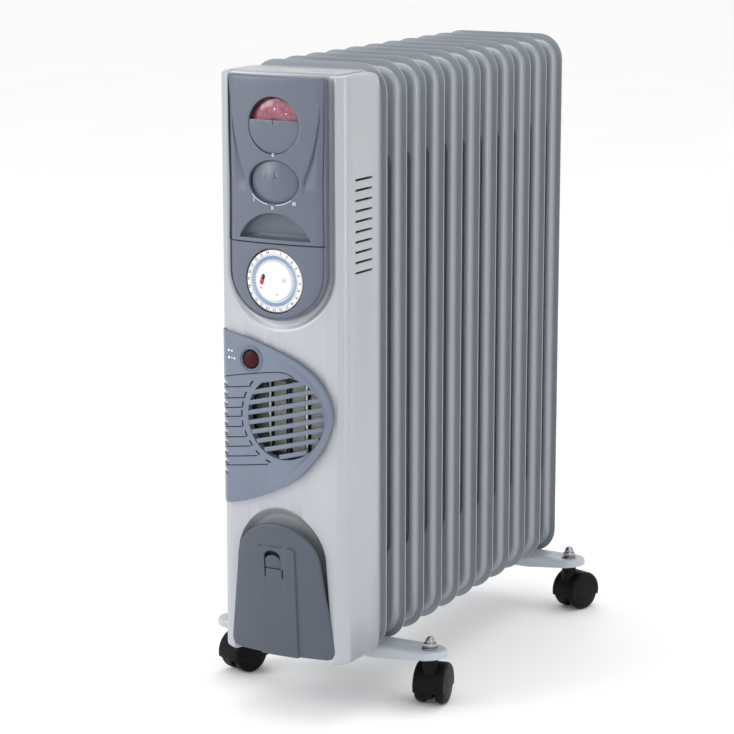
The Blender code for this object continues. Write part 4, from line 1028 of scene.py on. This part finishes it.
def cover_plan():
    """Plan of the fan cover: over the front, round the casing's left corner and back along its side."""
    xs = [0.0620 - 0.1200 * step / 36 for step in range(37)]
    outer = [(x, front_y(x, FAN_RISE)) for x in xs]
    wrap = ((-0.0597, -0.0074), (-0.0622, -0.0046), (-0.0650, -0.0012), (-0.0676, 0.0024),
            (-0.0694, 0.0066), (-0.0703, 0.0110),
            (-0.0710, 0.0180), (-0.0716, 0.0260), (-0.0718, 0.0410))
    outer += [(x, EDGE_Y + depth) for x, depth in wrap]
    inner = [(-0.0706, EDGE_Y + 0.0410), (-0.0693, EDGE_Y + 0.0090)]
    inner += arc((-0.060, EDGE_Y + 0.009), (0.0093, 0.0093), 180, 252, 6)[1:]
    inner += [(x, front_y(x, 0.0003)) for x in reversed(xs) if x > -0.0560]
    return list(reversed(outer + inner))


def cover_dip(x):
    """How far the cover's face falls towards its nose, inside the raised rim."""
    along = min(1.0, max(0.0, (x - 0.002) / 0.046))
    return 0.0042 * along * along * (3 - 2 * along)


FAN_VALLEY = [(-0.0100, 0.3640), (0.0120, 0.3562), (0.0290, 0.3470), (0.0420, 0.3340), (0.0500, 0.3200),
              (0.0528, 0.3075), (0.0510, 0.2950),
              (0.0430, 0.2785), (0.0300, 0.2625), (0.0130, 0.2475), (-0.0100, 0.2350)]
CHEVRONS = ((-0.0276, 0.3330), (-0.0350, 0.3210), (-0.0382, 0.3110), (-0.0394, 0.3020), (-0.0385, 0.2920),
            (-0.0345, 0.2825),
            (-0.0287, 0.2740), (-0.0210, 0.2655), (-0.0090, 0.2585))


def build_fan_cover():
    cover = raw_object("fan_cover", plan_block(cover_plan(), 0.2050, 0.3850))
    edge = [(-0.09, 0.3815)] + smooth_curve(FAN_EDGE, 5) + [(-0.09, 0.2095)]
    leaf = raw_object("leaf", slab(list(reversed(edge)), EDGE_Y + 0.0002, -0.30))
    middle = (FAN_HIGH.z + FAN_LOW.z) / 2 + 0.0008
    half_tall = 0.0857
    profile = [(EDGE_Y, middle + half_tall), (EDGE_Y, middle - half_tall)] + arc((EDGE_Y, middle),
                                                                                 (0.0400, half_tall), -90,
                                                                                 90, 36)[1:-1]
    side = slab([(y, z) for y, z in profile], 0.05, 0.09)
    turned_by(side, -90, "Z")
    bmesh.ops.scale(side, verts=side.verts, vec=(-1, -1, 1))
    for vert in side.verts:
        vert.co.x = -0.05 if abs(vert.co.x) < 0.07 else -0.09
    cut(leaf, [side], "UNION")
    valley = slab(list(reversed(smooth_curve(FAN_VALLEY, 5))), -FAN_RISE, -0.03)
    slice_at(valley, evenly(-0.012, 0.0535, 26))
    for vert in valley.verts:
        if vert.co.y > -0.02:
            vert.co.y += cover_dip(vert.co.x) + 0.00002
    cut(cover, [taken_from(leaf)], "INTERSECT")
    cut(cover, [crown(valley)], soften=0.0008, soften_steps=3, angle=32)

    tools = [slab(ring_of(FAN_MIDDLE, (FAN_OPENING, FAN_OPENING * 1.02), 72), -0.20, -0.30)]
    for number in range(NOTCHES):
        z = FIRST_NOTCH_Z - number * SLAT_PITCH
        tools.append(brick((0.030, 0.036, 0.0050), (-0.0716, EDGE_Y + 0.0080, z)))
    for number, (x, z) in enumerate(CHEVRONS):
        rise = math.tan(math.radians(9))
        start = (-0.0600, z - 0.0030 - (x + 0.0600) * rise)
        groove = slab(bar(start, (x, z - 0.0030), 0.00110), -FAN_RISE + 0.0034, -0.02)
        tools.append(crown(slice_at(groove, evenly(-0.0600, x, 6))))
        out = Vector((x - FAN_MIDDLE[0], z - FAN_MIDDLE[1])).normalized()
        along = Vector((-out.y, out.x)) * 0.0030
        slit = slab(bar((x + along.x, z + along.y), (x - along.x, z - along.y), 0.0018), -FAN_RISE + 0.0052,
                    -0.02)
        tools.append(crown(slit))
    hook = smooth_curve([(-0.0600, 0.3356), (-0.040, 0.3400), (-0.010, 0.3452), (0.004, 0.3466),
                         (0.012, 0.3457), (0.0185, 0.3425)], 3)
    for a, b in zip(hook, hook[1:]):
        long_b = (b[0] + (b[0] - a[0]) * 0.15, b[1] + (b[1] - a[1]) * 0.15)
        tools.append(crown(slab(bar(a, long_b, 0.0010), -FAN_RISE + 0.0034, -0.02)))
    tools.append(slab(ring_of((SWITCH.x, SWITCH.z), (0.0108, 0.0108), 40), -0.20, -0.30))
    cut(cover, tools)
    fit(cover, SLATE_FAN, "radiator", ["fan_grille"], 38)


def build_fan_slats():
    """Tilted slats across the fan's opening, which follow the fall of the cover's face."""
    slats = []
    for number in range(SLATS):
        offset = (number - (SLATS - 1) / 2) * SLAT_PITCH
        half = math.sqrt(max(0.0, FAN_OPENING ** 2 - (offset * math.cos(SLAT_TILT)) ** 2)) + 0.0012
        bm = slab(rounded((-half, -0.0023), (half, 0.0023), 0.0004, 2), 0.0034, 0.0, 0.0010, 3)
        slice_at(bm, evenly(-half, half, 14))
        turned_by(bm, -math.degrees(SLAT_TILT), "Y")
        shift = -offset * math.sin(SLAT_TILT) * math.cos(SLAT_TILT)
        moved(bm, FAN_MIDDLE[0] + shift, -FAN_RISE,
              FAN_MIDDLE[1] + 0.0015 + offset * math.cos(SLAT_TILT) ** 2)
        for vert in bm.verts:
            vert.co.y += cover_dip(vert.co.x) + 0.0001
        slats.append(crown(bm))
    piece("fan_slats", joined(slats), SLATE_FAN)


def build_heater():
    """Heater block seen through the slats: finned stacks between bright electrode strips."""
    low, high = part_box("fan_heater")
    bottom, top = low.z, high.z
    front = low.y
    frame_bm = slab(rounded((low.x, bottom), (high.x, top), 0.002, 2), high.y, front, 0.0005, 2)
    board = raw_object("heater_frame", frame_bm)
    stacks_x = [low.x + along for along in HEATER_STACKS]
    gaps = [slab(rounded((x - 0.0093, bottom + 0.006), (x + 0.0093, top - 0.006), 0.001, 2), high.y + 0.01,
                 front - 0.01)
            for x in stacks_x]
    cut(board, gaps, soften=0.0002, angle=50)
    fit(board, PLAIN_BLACK, "radiator", ["fan_heater"])
    stacks, strips = [], []
    for x in stacks_x:
        sheet = slab([(x - 0.0066, bottom + 0.006), (x + 0.0066, bottom + 0.006), (x + 0.0066, top - 0.006),
                      (x - 0.0066, top - 0.006)],
                     high.y - 0.0004, front + 0.0018)
        stacks.append(sheet)
        for number in range(HEATER_LEAVES):
            z = bottom + 0.0075 + number * (top - bottom - 0.015) / (HEATER_LEAVES - 1)
            leaf = slab(bar((x - 0.0066, z - 0.0006), (x + 0.0066, z + 0.0006), 0.0005), front + 0.0018,
                        front + 0.0008)
            stacks.append(leaf)
    for x in (low.x + along for along in HEATER_STRIPS):
        strips.append(slab(rounded((x - 0.0012, bottom + 0.002), (x + 0.0012, top - 0.002), 0.0005, 2),
                           front + 0.001, front - 0.0014, 0.0003, 2))
    piece("heater_stacks", joined(stacks), HEATER_GREY)
    piece("heater_strips", joined(strips), STRIP_LIGHT)


def build_fan_switch():
    face = SWITCH_LOW.y - 0.0008 + 0.0016
    ring = [(0.0096, 0.0005), (0.0098, 0.0009), (0.0102, 0.0010), (0.0105, 0.0005), (0.0109, 0.0005),
            (0.0112, 0.0014), (0.0120, 0.0013),
            (0.0126, 0.0006), (0.0127, -0.0018), (0.0104, -0.0018), (0.0104, -0.0200), (0.0, -0.0200),
            (0.0, -0.0180), (0.0095, -0.0180),
            (0.0095, -0.0010)]
    bezel = moved(spun(ring, 64), SWITCH.x, face, SWITCH.z)
    piece("switch_bezel", bezel, SLATE_FAN, stands_for=["fan_switch_body"])
    rocker = [(0, 0.0015), (0.0045, 0.0013), (0.0070, 0.0007), (0.0082, -0.0001), (0.0087, -0.0012),
              (0.0083, -0.0050), (0.0050, -0.0100), (0, -0.0100)]
    piece("switch_rocker", moved(spun(rocker, 56), SWITCH.x, face, SWITCH.z), ROCKER, "fan_rocker",
          ["fan_switch"])
    marks = [bar((-0.0560, 0.3620), (-0.0535, 0.3620), 0.0016),
             ring_of((-0.0508, 0.3618), (0.0009, 0.0011), 10),
             ring_of((-0.0545, 0.3550), (0.0012, 0.0012), 10),
             bar((-0.0520, 0.3550), (-0.0500, 0.3550), 0.0008),
             ring_of((-0.0478, 0.3548), (0.0010, 0.0012), 10)]
    print_strip("switch_marks", marks,
                lambda x, z: front_y(x, FAN_RISE) - 0.00005 + max(0.0, -0.0600 - x) / 0.0135, PALE_PRINT)


# ---------------------------------------------------------------- cord winder
def winder_outline(inset=0.0):
    top_half, foot_half, shoulder = 0.0460 - inset, 0.0575 - inset, 0.156
    bottom, top = WINDER_LOW.z + inset, WINDER_TOP - 0.0003 - inset
    run = arc((0, shoulder), (top_half, top - shoulder), 0, 180, 40)
    run += arc((-foot_half + 0.009, bottom + 0.009), (0.009, 0.009), 180, 270, 8)
    run += arc((foot_half - 0.009, bottom + 0.009), (0.009, 0.009), 270, 360, 8)
    return run


def lean(bm):
    foot = Vector((0, EDGE_Y - CROWN, WINDER_LOW.z))
    bmesh.ops.rotate(bm, verts=bm.verts, cent=foot, matrix=Matrix.Rotation(WINDER_TILT, 3, "X"))
    return bm


def build_winder():
    plate = slab(winder_outline(), 0.0040, -0.00075, 0.0020, 5, 0.0012)
    slice_at(plate, evenly(-0.0575, 0.0575, 30))
    crown(plate)
    outline = [(-STRIP_HALF, WINDER_LOW.z + 0.0002), (STRIP_HALF, WINDER_LOW.z + 0.0002)]
    outline += rounded((-STRIP_HALF, 0.150), (STRIP_HALF, 0.1760), 0.004, 4)[:10]
    strip = slab(outline, 0.0, -0.0008)
    front = [face for face in strip.faces if face.calc_center_median().y < -0.0007]
    bmesh.ops.inset_region(strip, faces=front, thickness=0.0014, depth=0.0020, use_even_offset=True)
    for vert in strip.verts:
        if vert.co.z < WINDER_LOW.z + 0.004:
            vert.co.z = WINDER_LOW.z + 0.0002
    slice_at(strip, evenly(-STRIP_HALF, STRIP_HALF, 8))
    crown(strip)
    winder = raw_object("winder_plate", plate)
    cut(winder, [strip], "UNION")
    arch = arc((LATCH_X, 0.1650), (0.0092, 0.0068), 0, 180, 20) + [(-0.0127, 0.1530), (0.0057, 0.1530)]
    slits = [slab(rounded((x - 0.0008, 0.1440), (x + 0.0008, 0.1540), 0.0006, 2), 0.01, -0.02)
             for x in (-0.0119, 0.0073)]
    cut(winder, [moved(slab(arch, 0.01, -0.02), 0, EDGE_Y - CROWN, 0)] + [moved(slit, 0, EDGE_Y - CROWN, 0)
                                                                          for slit in slits],
        soften=0.0003, angle=55)
    body = taken_from(winder)
    tab_outline = arc((LATCH_X, 0.1610), (0.0087, 0.0055), 0, 180, 18) + [(-0.0122, 0.1532),
                                                                          (0.0052, 0.1532)]
    tab = moved(slab(tab_outline, 0.0012, -0.0016, 0.0008, 3), 0, EDGE_Y - CROWN, 0)
    # Painted shade: a black sheet behind the plate shows dark through the latch's arch and slits, in place
    # of the shaded recess round the latch.
    latch_shade_sheet = moved(slab(rounded((-0.0145, 0.1420), (0.0095, 0.1730), 0.003, 3), 0.0060, 0.0050), 0,
                   EDGE_Y - CROWN, 0)
    for bm in (body, tab, latch_shade_sheet):
        lean(bm)
    core = slab(rounded((-0.029, WINDER_LOW.z + 0.006), (0.029, 0.150), 0.006, 5),
                EDGE_Y + COVE_DEPTH - 0.0003, EDGE_Y - CROWN + 0.0025)
    for vert in core.verts:
        if vert.co.y < EDGE_Y:
            vert.co.y -= (vert.co.z - WINDER_LOW.z) * math.tan(WINDER_TILT)
    piece("winder_shell", joined([body, core]), SLATE_WINDER, stands_for=["cord_winder"],
          angle=35)
    piece("winder_latch", tab, SLATE_WINDER)
    piece("winder_latch_painted_shade", latch_shade_sheet, PLAIN_BLACK)


# ---------------------------------------------------------------- brackets and casters
def bracket_plan(stem_x, inset):
    end = 0.0175 - inset
    waist = 0.0175 - inset
    right = arc((stem_x, 0), (end, end), -90, 90, 20)
    left = arc((-stem_x, 0), (end, end), 90, 270, 20)
    return right + [(0.03, waist), (-0.03, waist)] + left + [(-0.03, -waist), (0.03, -waist)]


def flat_block(outline, bottom, top, rim=0.0, steps=4, low_rim=0.0):
    bm = slab(outline, 0.0, -(top - bottom), rim, steps, low_rim)
    turned_by(bm, -90, "X")
    for vert in bm.verts:
        vert.co.y = -vert.co.y
    bmesh.ops.recalc_face_normals(bm, faces=bm.faces)
    return moved(bm, 0, 0, bottom)


def build_bracket(node, stem_x):
    low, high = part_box(node)
    middle = (low.y + high.y) / 2
    tray = raw_object(f"{node}_tray", flat_block(bracket_plan(stem_x, 0), low.z, high.z, 0.0030, 5))
    hollow = flat_block(bracket_plan(stem_x, 0.0022), low.z - 0.01, high.z - 0.0024, 0.002, 4)
    holes = [flat_block(ring_of((x, 0), (radius, radius), 32), low.z - 0.02, high.z + 0.02)
             for x, radius in ((-stem_x, 0.0043), (stem_x, 0.0043), (-U_BOLT_HALF, 0.0033),
                               (U_BOLT_HALF, 0.0033))]
    tapers = []
    for side in (-1, 1):
        tip = side * (stem_x + 0.020)
        tapers.append(slab([(side * 0.048, low.z - 0.001), (tip, low.z - 0.001), (tip, low.z + 0.0063)],
                           0.03, -0.03))
    cut(tray, [hollow] + holes + tapers, soften=0.0003, angle=50)
    piece(f"{node}_tray", moved(taken_from(tray), 0, middle, 0), BRACKET_WHITE, stands_for=[node])


def build_u_bolt(node):
    """U-bolt over the lower header, with a washer and a wing nut on each leg."""
    low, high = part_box(node)
    y = (low.y + high.y) / 2
    half = U_BOLT_HALF
    path = [(-half, low.z + 0.0005)] + arc((0, FIN_LOW.z + 0.044), (half, half), 180, 0,
                                           32) + [(half, low.z + 0.0005)]
    curve = bpy.data.curves.new("rod", "CURVE")
    curve.dimensions = "3D"
    curve.bevel_depth = 0.0029
    curve.bevel_resolution = 5
    curve.use_fill_caps = True
    spline = curve.splines.new("POLY")
    spline.points.add(len(path) - 1)
    for point, (x, z) in zip(spline.points, path):
        point.co = (x, y, z, 1)
    rod = bpy.data.objects.new("rod", curve)
    bpy.context.scene.collection.objects.link(rod)
    whole = bmesh.new()
    whole.from_mesh(mesh_now(rod))
    bpy.data.objects.remove(rod)
    parts = [whole]
    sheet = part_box("front_bracket")[1].z - 0.0028
    for side in (-1, 1):
        hub = spun([(0.0032, 0.0), (0.0075, 0.0), (0.0078, -0.0010), (0.0060, -0.0012), (0.0052, -0.0082),
                    (0.0032, -0.0085)], 32, "Z")
        parts.append(moved(hub, side * half, y, sheet))
        for hand in (-1, 1):
            wing = slab(smooth_curve([(0.004, -0.0085), (0.0105, -0.0120), (0.0125, -0.0100),
                                      (0.0110, -0.0060), (0.0045, -0.0030)], 5), 0.0009, -0.0009, 0.0005, 2,
                        0.0005)
            if hand < 0:
                turned_by(wing, 180, "Z")
            parts.append(moved(wing, side * half, y, sheet))
    piece(f"{node}_rod", joined(parts), ZINC, stands_for=[node])


def build_cap_nut(node):
    low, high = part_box(node)
    x, y = (low.x + high.x) / 2, (low.y + high.y) / 2
    washer = spun([(0.0035, 0.0), (0.0080, 0.0), (0.0083, 0.0004), (0.0078, 0.0011), (0.0035, 0.0013)], 40,
                  "Z")
    hexagon = flat_block(ring_of((0, 0), (0.0072, 0.0072), 6), 0.0010, 0.0060)
    nut = raw_object("nut", hexagon)
    shaping = spun([(0, -0.001), (0.0073, -0.001), (0.0073, 0.0050), (0.0058, 0.0061), (0, 0.0061)], 40,
                   "Z")
    cut(nut, [shaping], "INTERSECT", soften=0.0002)
    dome = spun([(0, 0.0122), (0.0015, 0.0120), (0.0029, 0.0113), (0.0040, 0.0102), (0.0047, 0.0088),
                 (0.0048, 0.0074), (0.0046, 0.0060), (0.0046, 0.0055),
                 (0, 0.0055)], 40, "Z")
    whole = joined([washer, taken_from(nut), dome])
    piece(f"{node}_acorn", moved(whole, x, y, low.z), CHROME, stands_for=[node], angle=30)


def wheel_profile(half, radius):
    return [(0.0030, -half), (0.0060, -half), (0.0068, -half + 0.0008), (0.0130, -half + 0.0009),
            (0.0140, -half), (radius - 0.0035, -half),
            (radius - 0.0012, -half + 0.0010), (radius, -half + 0.0032), (radius, half - 0.0032),
            (radius - 0.0012, half - 0.0010),
            (radius - 0.0035, half), (0.0030, half)]


def build_caster(place):
    """Twin wheels under a hood that swivels on the stem's pin."""
    hood = f"caster_hood_{place}"
    pin_low, pin_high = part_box(f"caster_pin_{place}")
    x, y = (pin_low.x + pin_high.x) / 2, (pin_low.y + pin_high.y) / 2
    turn = CASTER_TURN[place]
    trail, radius = CASTER_TRAIL, WHEEL_RADIUS

    def placed(bm):
        turned_by(bm, turn, "Z")
        return moved(bm, x, y, 0)

    def side_prism(outline, low, high, rim=0.0):
        bm = slab(outline, -low, -high, rim, 5, rim)
        turned_by(bm, 90, "Z")
        return bm

    reach = FENDER_HALF
    fender = raw_object("fender", side_prism(ring_of((trail, radius), (FENDER_RADIUS, FENDER_RADIUS), 56),
                                             -reach, reach,
                                             0.0034))
    tools = []
    for side in (-1, 1):
        low, high = sorted((side * 0.0045, side * (reach - 0.0011)))
        tools.append(side_prism(ring_of((trail, radius), (WELL_RADIUS, WELL_RADIUS), 56), low, high))
        open_low, open_high = sorted((side * 0.0044, side * 0.03))
        tools.append(brick((open_high - open_low, 0.1, 0.05), ((open_low + open_high) / 2, 0,
                                                               0.0150 - 0.025)))
    tools.append(brick((0.06, 0.1, 0.04), (0, 0, 0.0088 - 0.02)))
    cut(fender, tools, soften=0.0004, angle=50)
    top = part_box("front_bracket")[1].z - 0.0034
    boss = spun([(0.0029, 0.0330), (0.0078, 0.0330), (0.0078, top - 0.001), (0.0070, top), (0.0044, top),
                 (0.0044, 0.0442), (0.0029, 0.0442)], 40, "Z")
    piece(f"{hood}_shell", placed(joined([taken_from(fender), boss])), BLACK, f"caster_{place}", [hood])
    for hand, side in (("left", -1), ("right", 1)):
        node = f"wheel_{place}_{hand}"
        wheel = spun(wheel_profile(WHEEL_HALF, radius), 56, "X")
        cap = spun([(0, 0.0052), (0.0040, 0.0050), (0.0052, 0.0046), (0.0052, 0.0030), (0, 0.0030)], 32,
                   "X")
        if side < 0:
            turned_by(cap, 180, "Z")
        whole = joined([wheel, cap])
        piece(f"{node}_tread", placed(moved(whole, side * WHEEL_OFFSET, trail, radius)), BLACK, node,
              [node])
    stem = spun([(0, 0.0), (0.0034, 0.0), (0.0040, -0.0085), (0.0040, -0.0225), (0.0025, -0.0226),
                 (0.0025, -0.0440), (0, -0.0440)], 32, "Z")
    piece(f"caster_pin_{place}_turned", moved(stem, x, y, pin_high.z), ZINC,
          stands_for=[f"caster_pin_{place}"])


# ---------------------------------------------------------------- solids that keep their shape
CARRIED = {
    "casing_back": SILVER,
    "cord_gland": PLAIN_BLACK,
    "heating_element": ZINC,
    "thermostat_body": PLAIN_BLACK,
    "selector_switch": PLAIN_BLACK,
    "blower_wheel": BLOWER_GREY,
    "fan_motor": ZINC,
    "thermal_cutout": ZINC,
}


def finish_carried():
    for node, finish in CARRIED.items():
        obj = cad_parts[node]
        obj.data.materials.clear()
        obj.data.materials.append(finish)


# ---------------------------------------------------------------- room, light and camera
def build_floor():
    bm = bmesh.new()
    bmesh.ops.create_grid(bm, x_segments=8, y_segments=8, size=24.0)
    floor = raw_object("floor", bm)
    pale, shader = new_finish("pale_floor", (0.95, 0.95, 0.95), 0.7)
    place = node_of(pale, "ShaderNodeTexCoord")
    cloud = noise(pale, place, 3.0, 4.0)
    tone = ramp_between(pale, cloud.outputs["Fac"], 0.3, 0.7, (0.960, 0.960, 0.960), (0.980, 0.980, 0.980))
    link(pale, tone.outputs["Color"], shader.inputs["Base Color"])
    roughness_from(pale, shader, cloud.outputs["Fac"], 0.65, 0.8)
    floor.data.materials.append(pale)


LIGHTS = (
    ("left_softbox", (-2.2, -2.4, 1.7), (1.6, 2.2), 50),
    ("right_strip", (2.3, -1.2, 0.9), (0.24, 2.2), 11),
    ("top_panel", (0.0, 0.4, 2.6), (2.0, 2.0), 17),
)


def soft_light(name, place, target, size, power):
    light = bpy.data.lights.new(name, "AREA")
    light.shape = "RECTANGLE"
    light.size, light.size_y = size
    light.energy = power
    lamp = bpy.data.objects.new(name, light)
    bpy.context.scene.collection.objects.link(lamp)
    lamp.location = place
    lamp.rotation_euler = (Vector(target) - Vector(place)).to_track_quat("-Z", "Y").to_euler()


def build_room():
    world = bpy.data.worlds.new("studio")
    world.use_nodes = True
    world.node_tree.nodes["Background"].inputs["Color"].default_value = (1, 1, 1, 1)
    world.node_tree.nodes["Background"].inputs["Strength"].default_value = 0.98
    bpy.context.scene.world = world
    bpy.context.scene.view_settings.view_transform = "Standard"
    build_floor()
    middle = (0, 0, 0.32)
    for name, place, size, power in LIGHTS:
        soft_light(name, place, middle, size, power)


def build_camera():
    """The camera stands on the right of the controls, a little above them."""
    data = bpy.data.cameras.new("studio_camera")
    data.lens = 126.73
    data.sensor_width = 36.0
    data.clip_end = 50.0
    camera = bpy.data.objects.new("studio_camera", data)
    bpy.context.scene.collection.objects.link(camera)
    first_fin = sum((corner.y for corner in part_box("fin_01"))) / 2
    camera.location = (1.2149, first_fin - 2.1599, 0.8552)
    camera.rotation_euler = (math.radians(90 - 11.84), 0, math.radians(28.29))
    bpy.context.scene.camera = camera


def main():
    build_camera()
    build_room()
    build_fins()
    build_header_ends()
    build_casing()
    build_top_plate()
    build_control_panel()
    build_timer_panel()
    build_thermostat()
    build_selector()
    build_panel_marks()
    build_timer_ring()
    build_timer_centre()
    build_fan_cover()
    build_fan_slats()
    build_heater()
    build_fan_switch()
    build_winder()
    for node, stem_x in STEM_X.items():
        build_bracket(node, stem_x)
    for node in ("front_u_bolt", "rear_u_bolt"):
        build_u_bolt(node)
    for place in CASTER_PLACES:
        build_cap_nut(f"cap_nut_{place}")
        build_caster(place)
    finish_carried()


main()
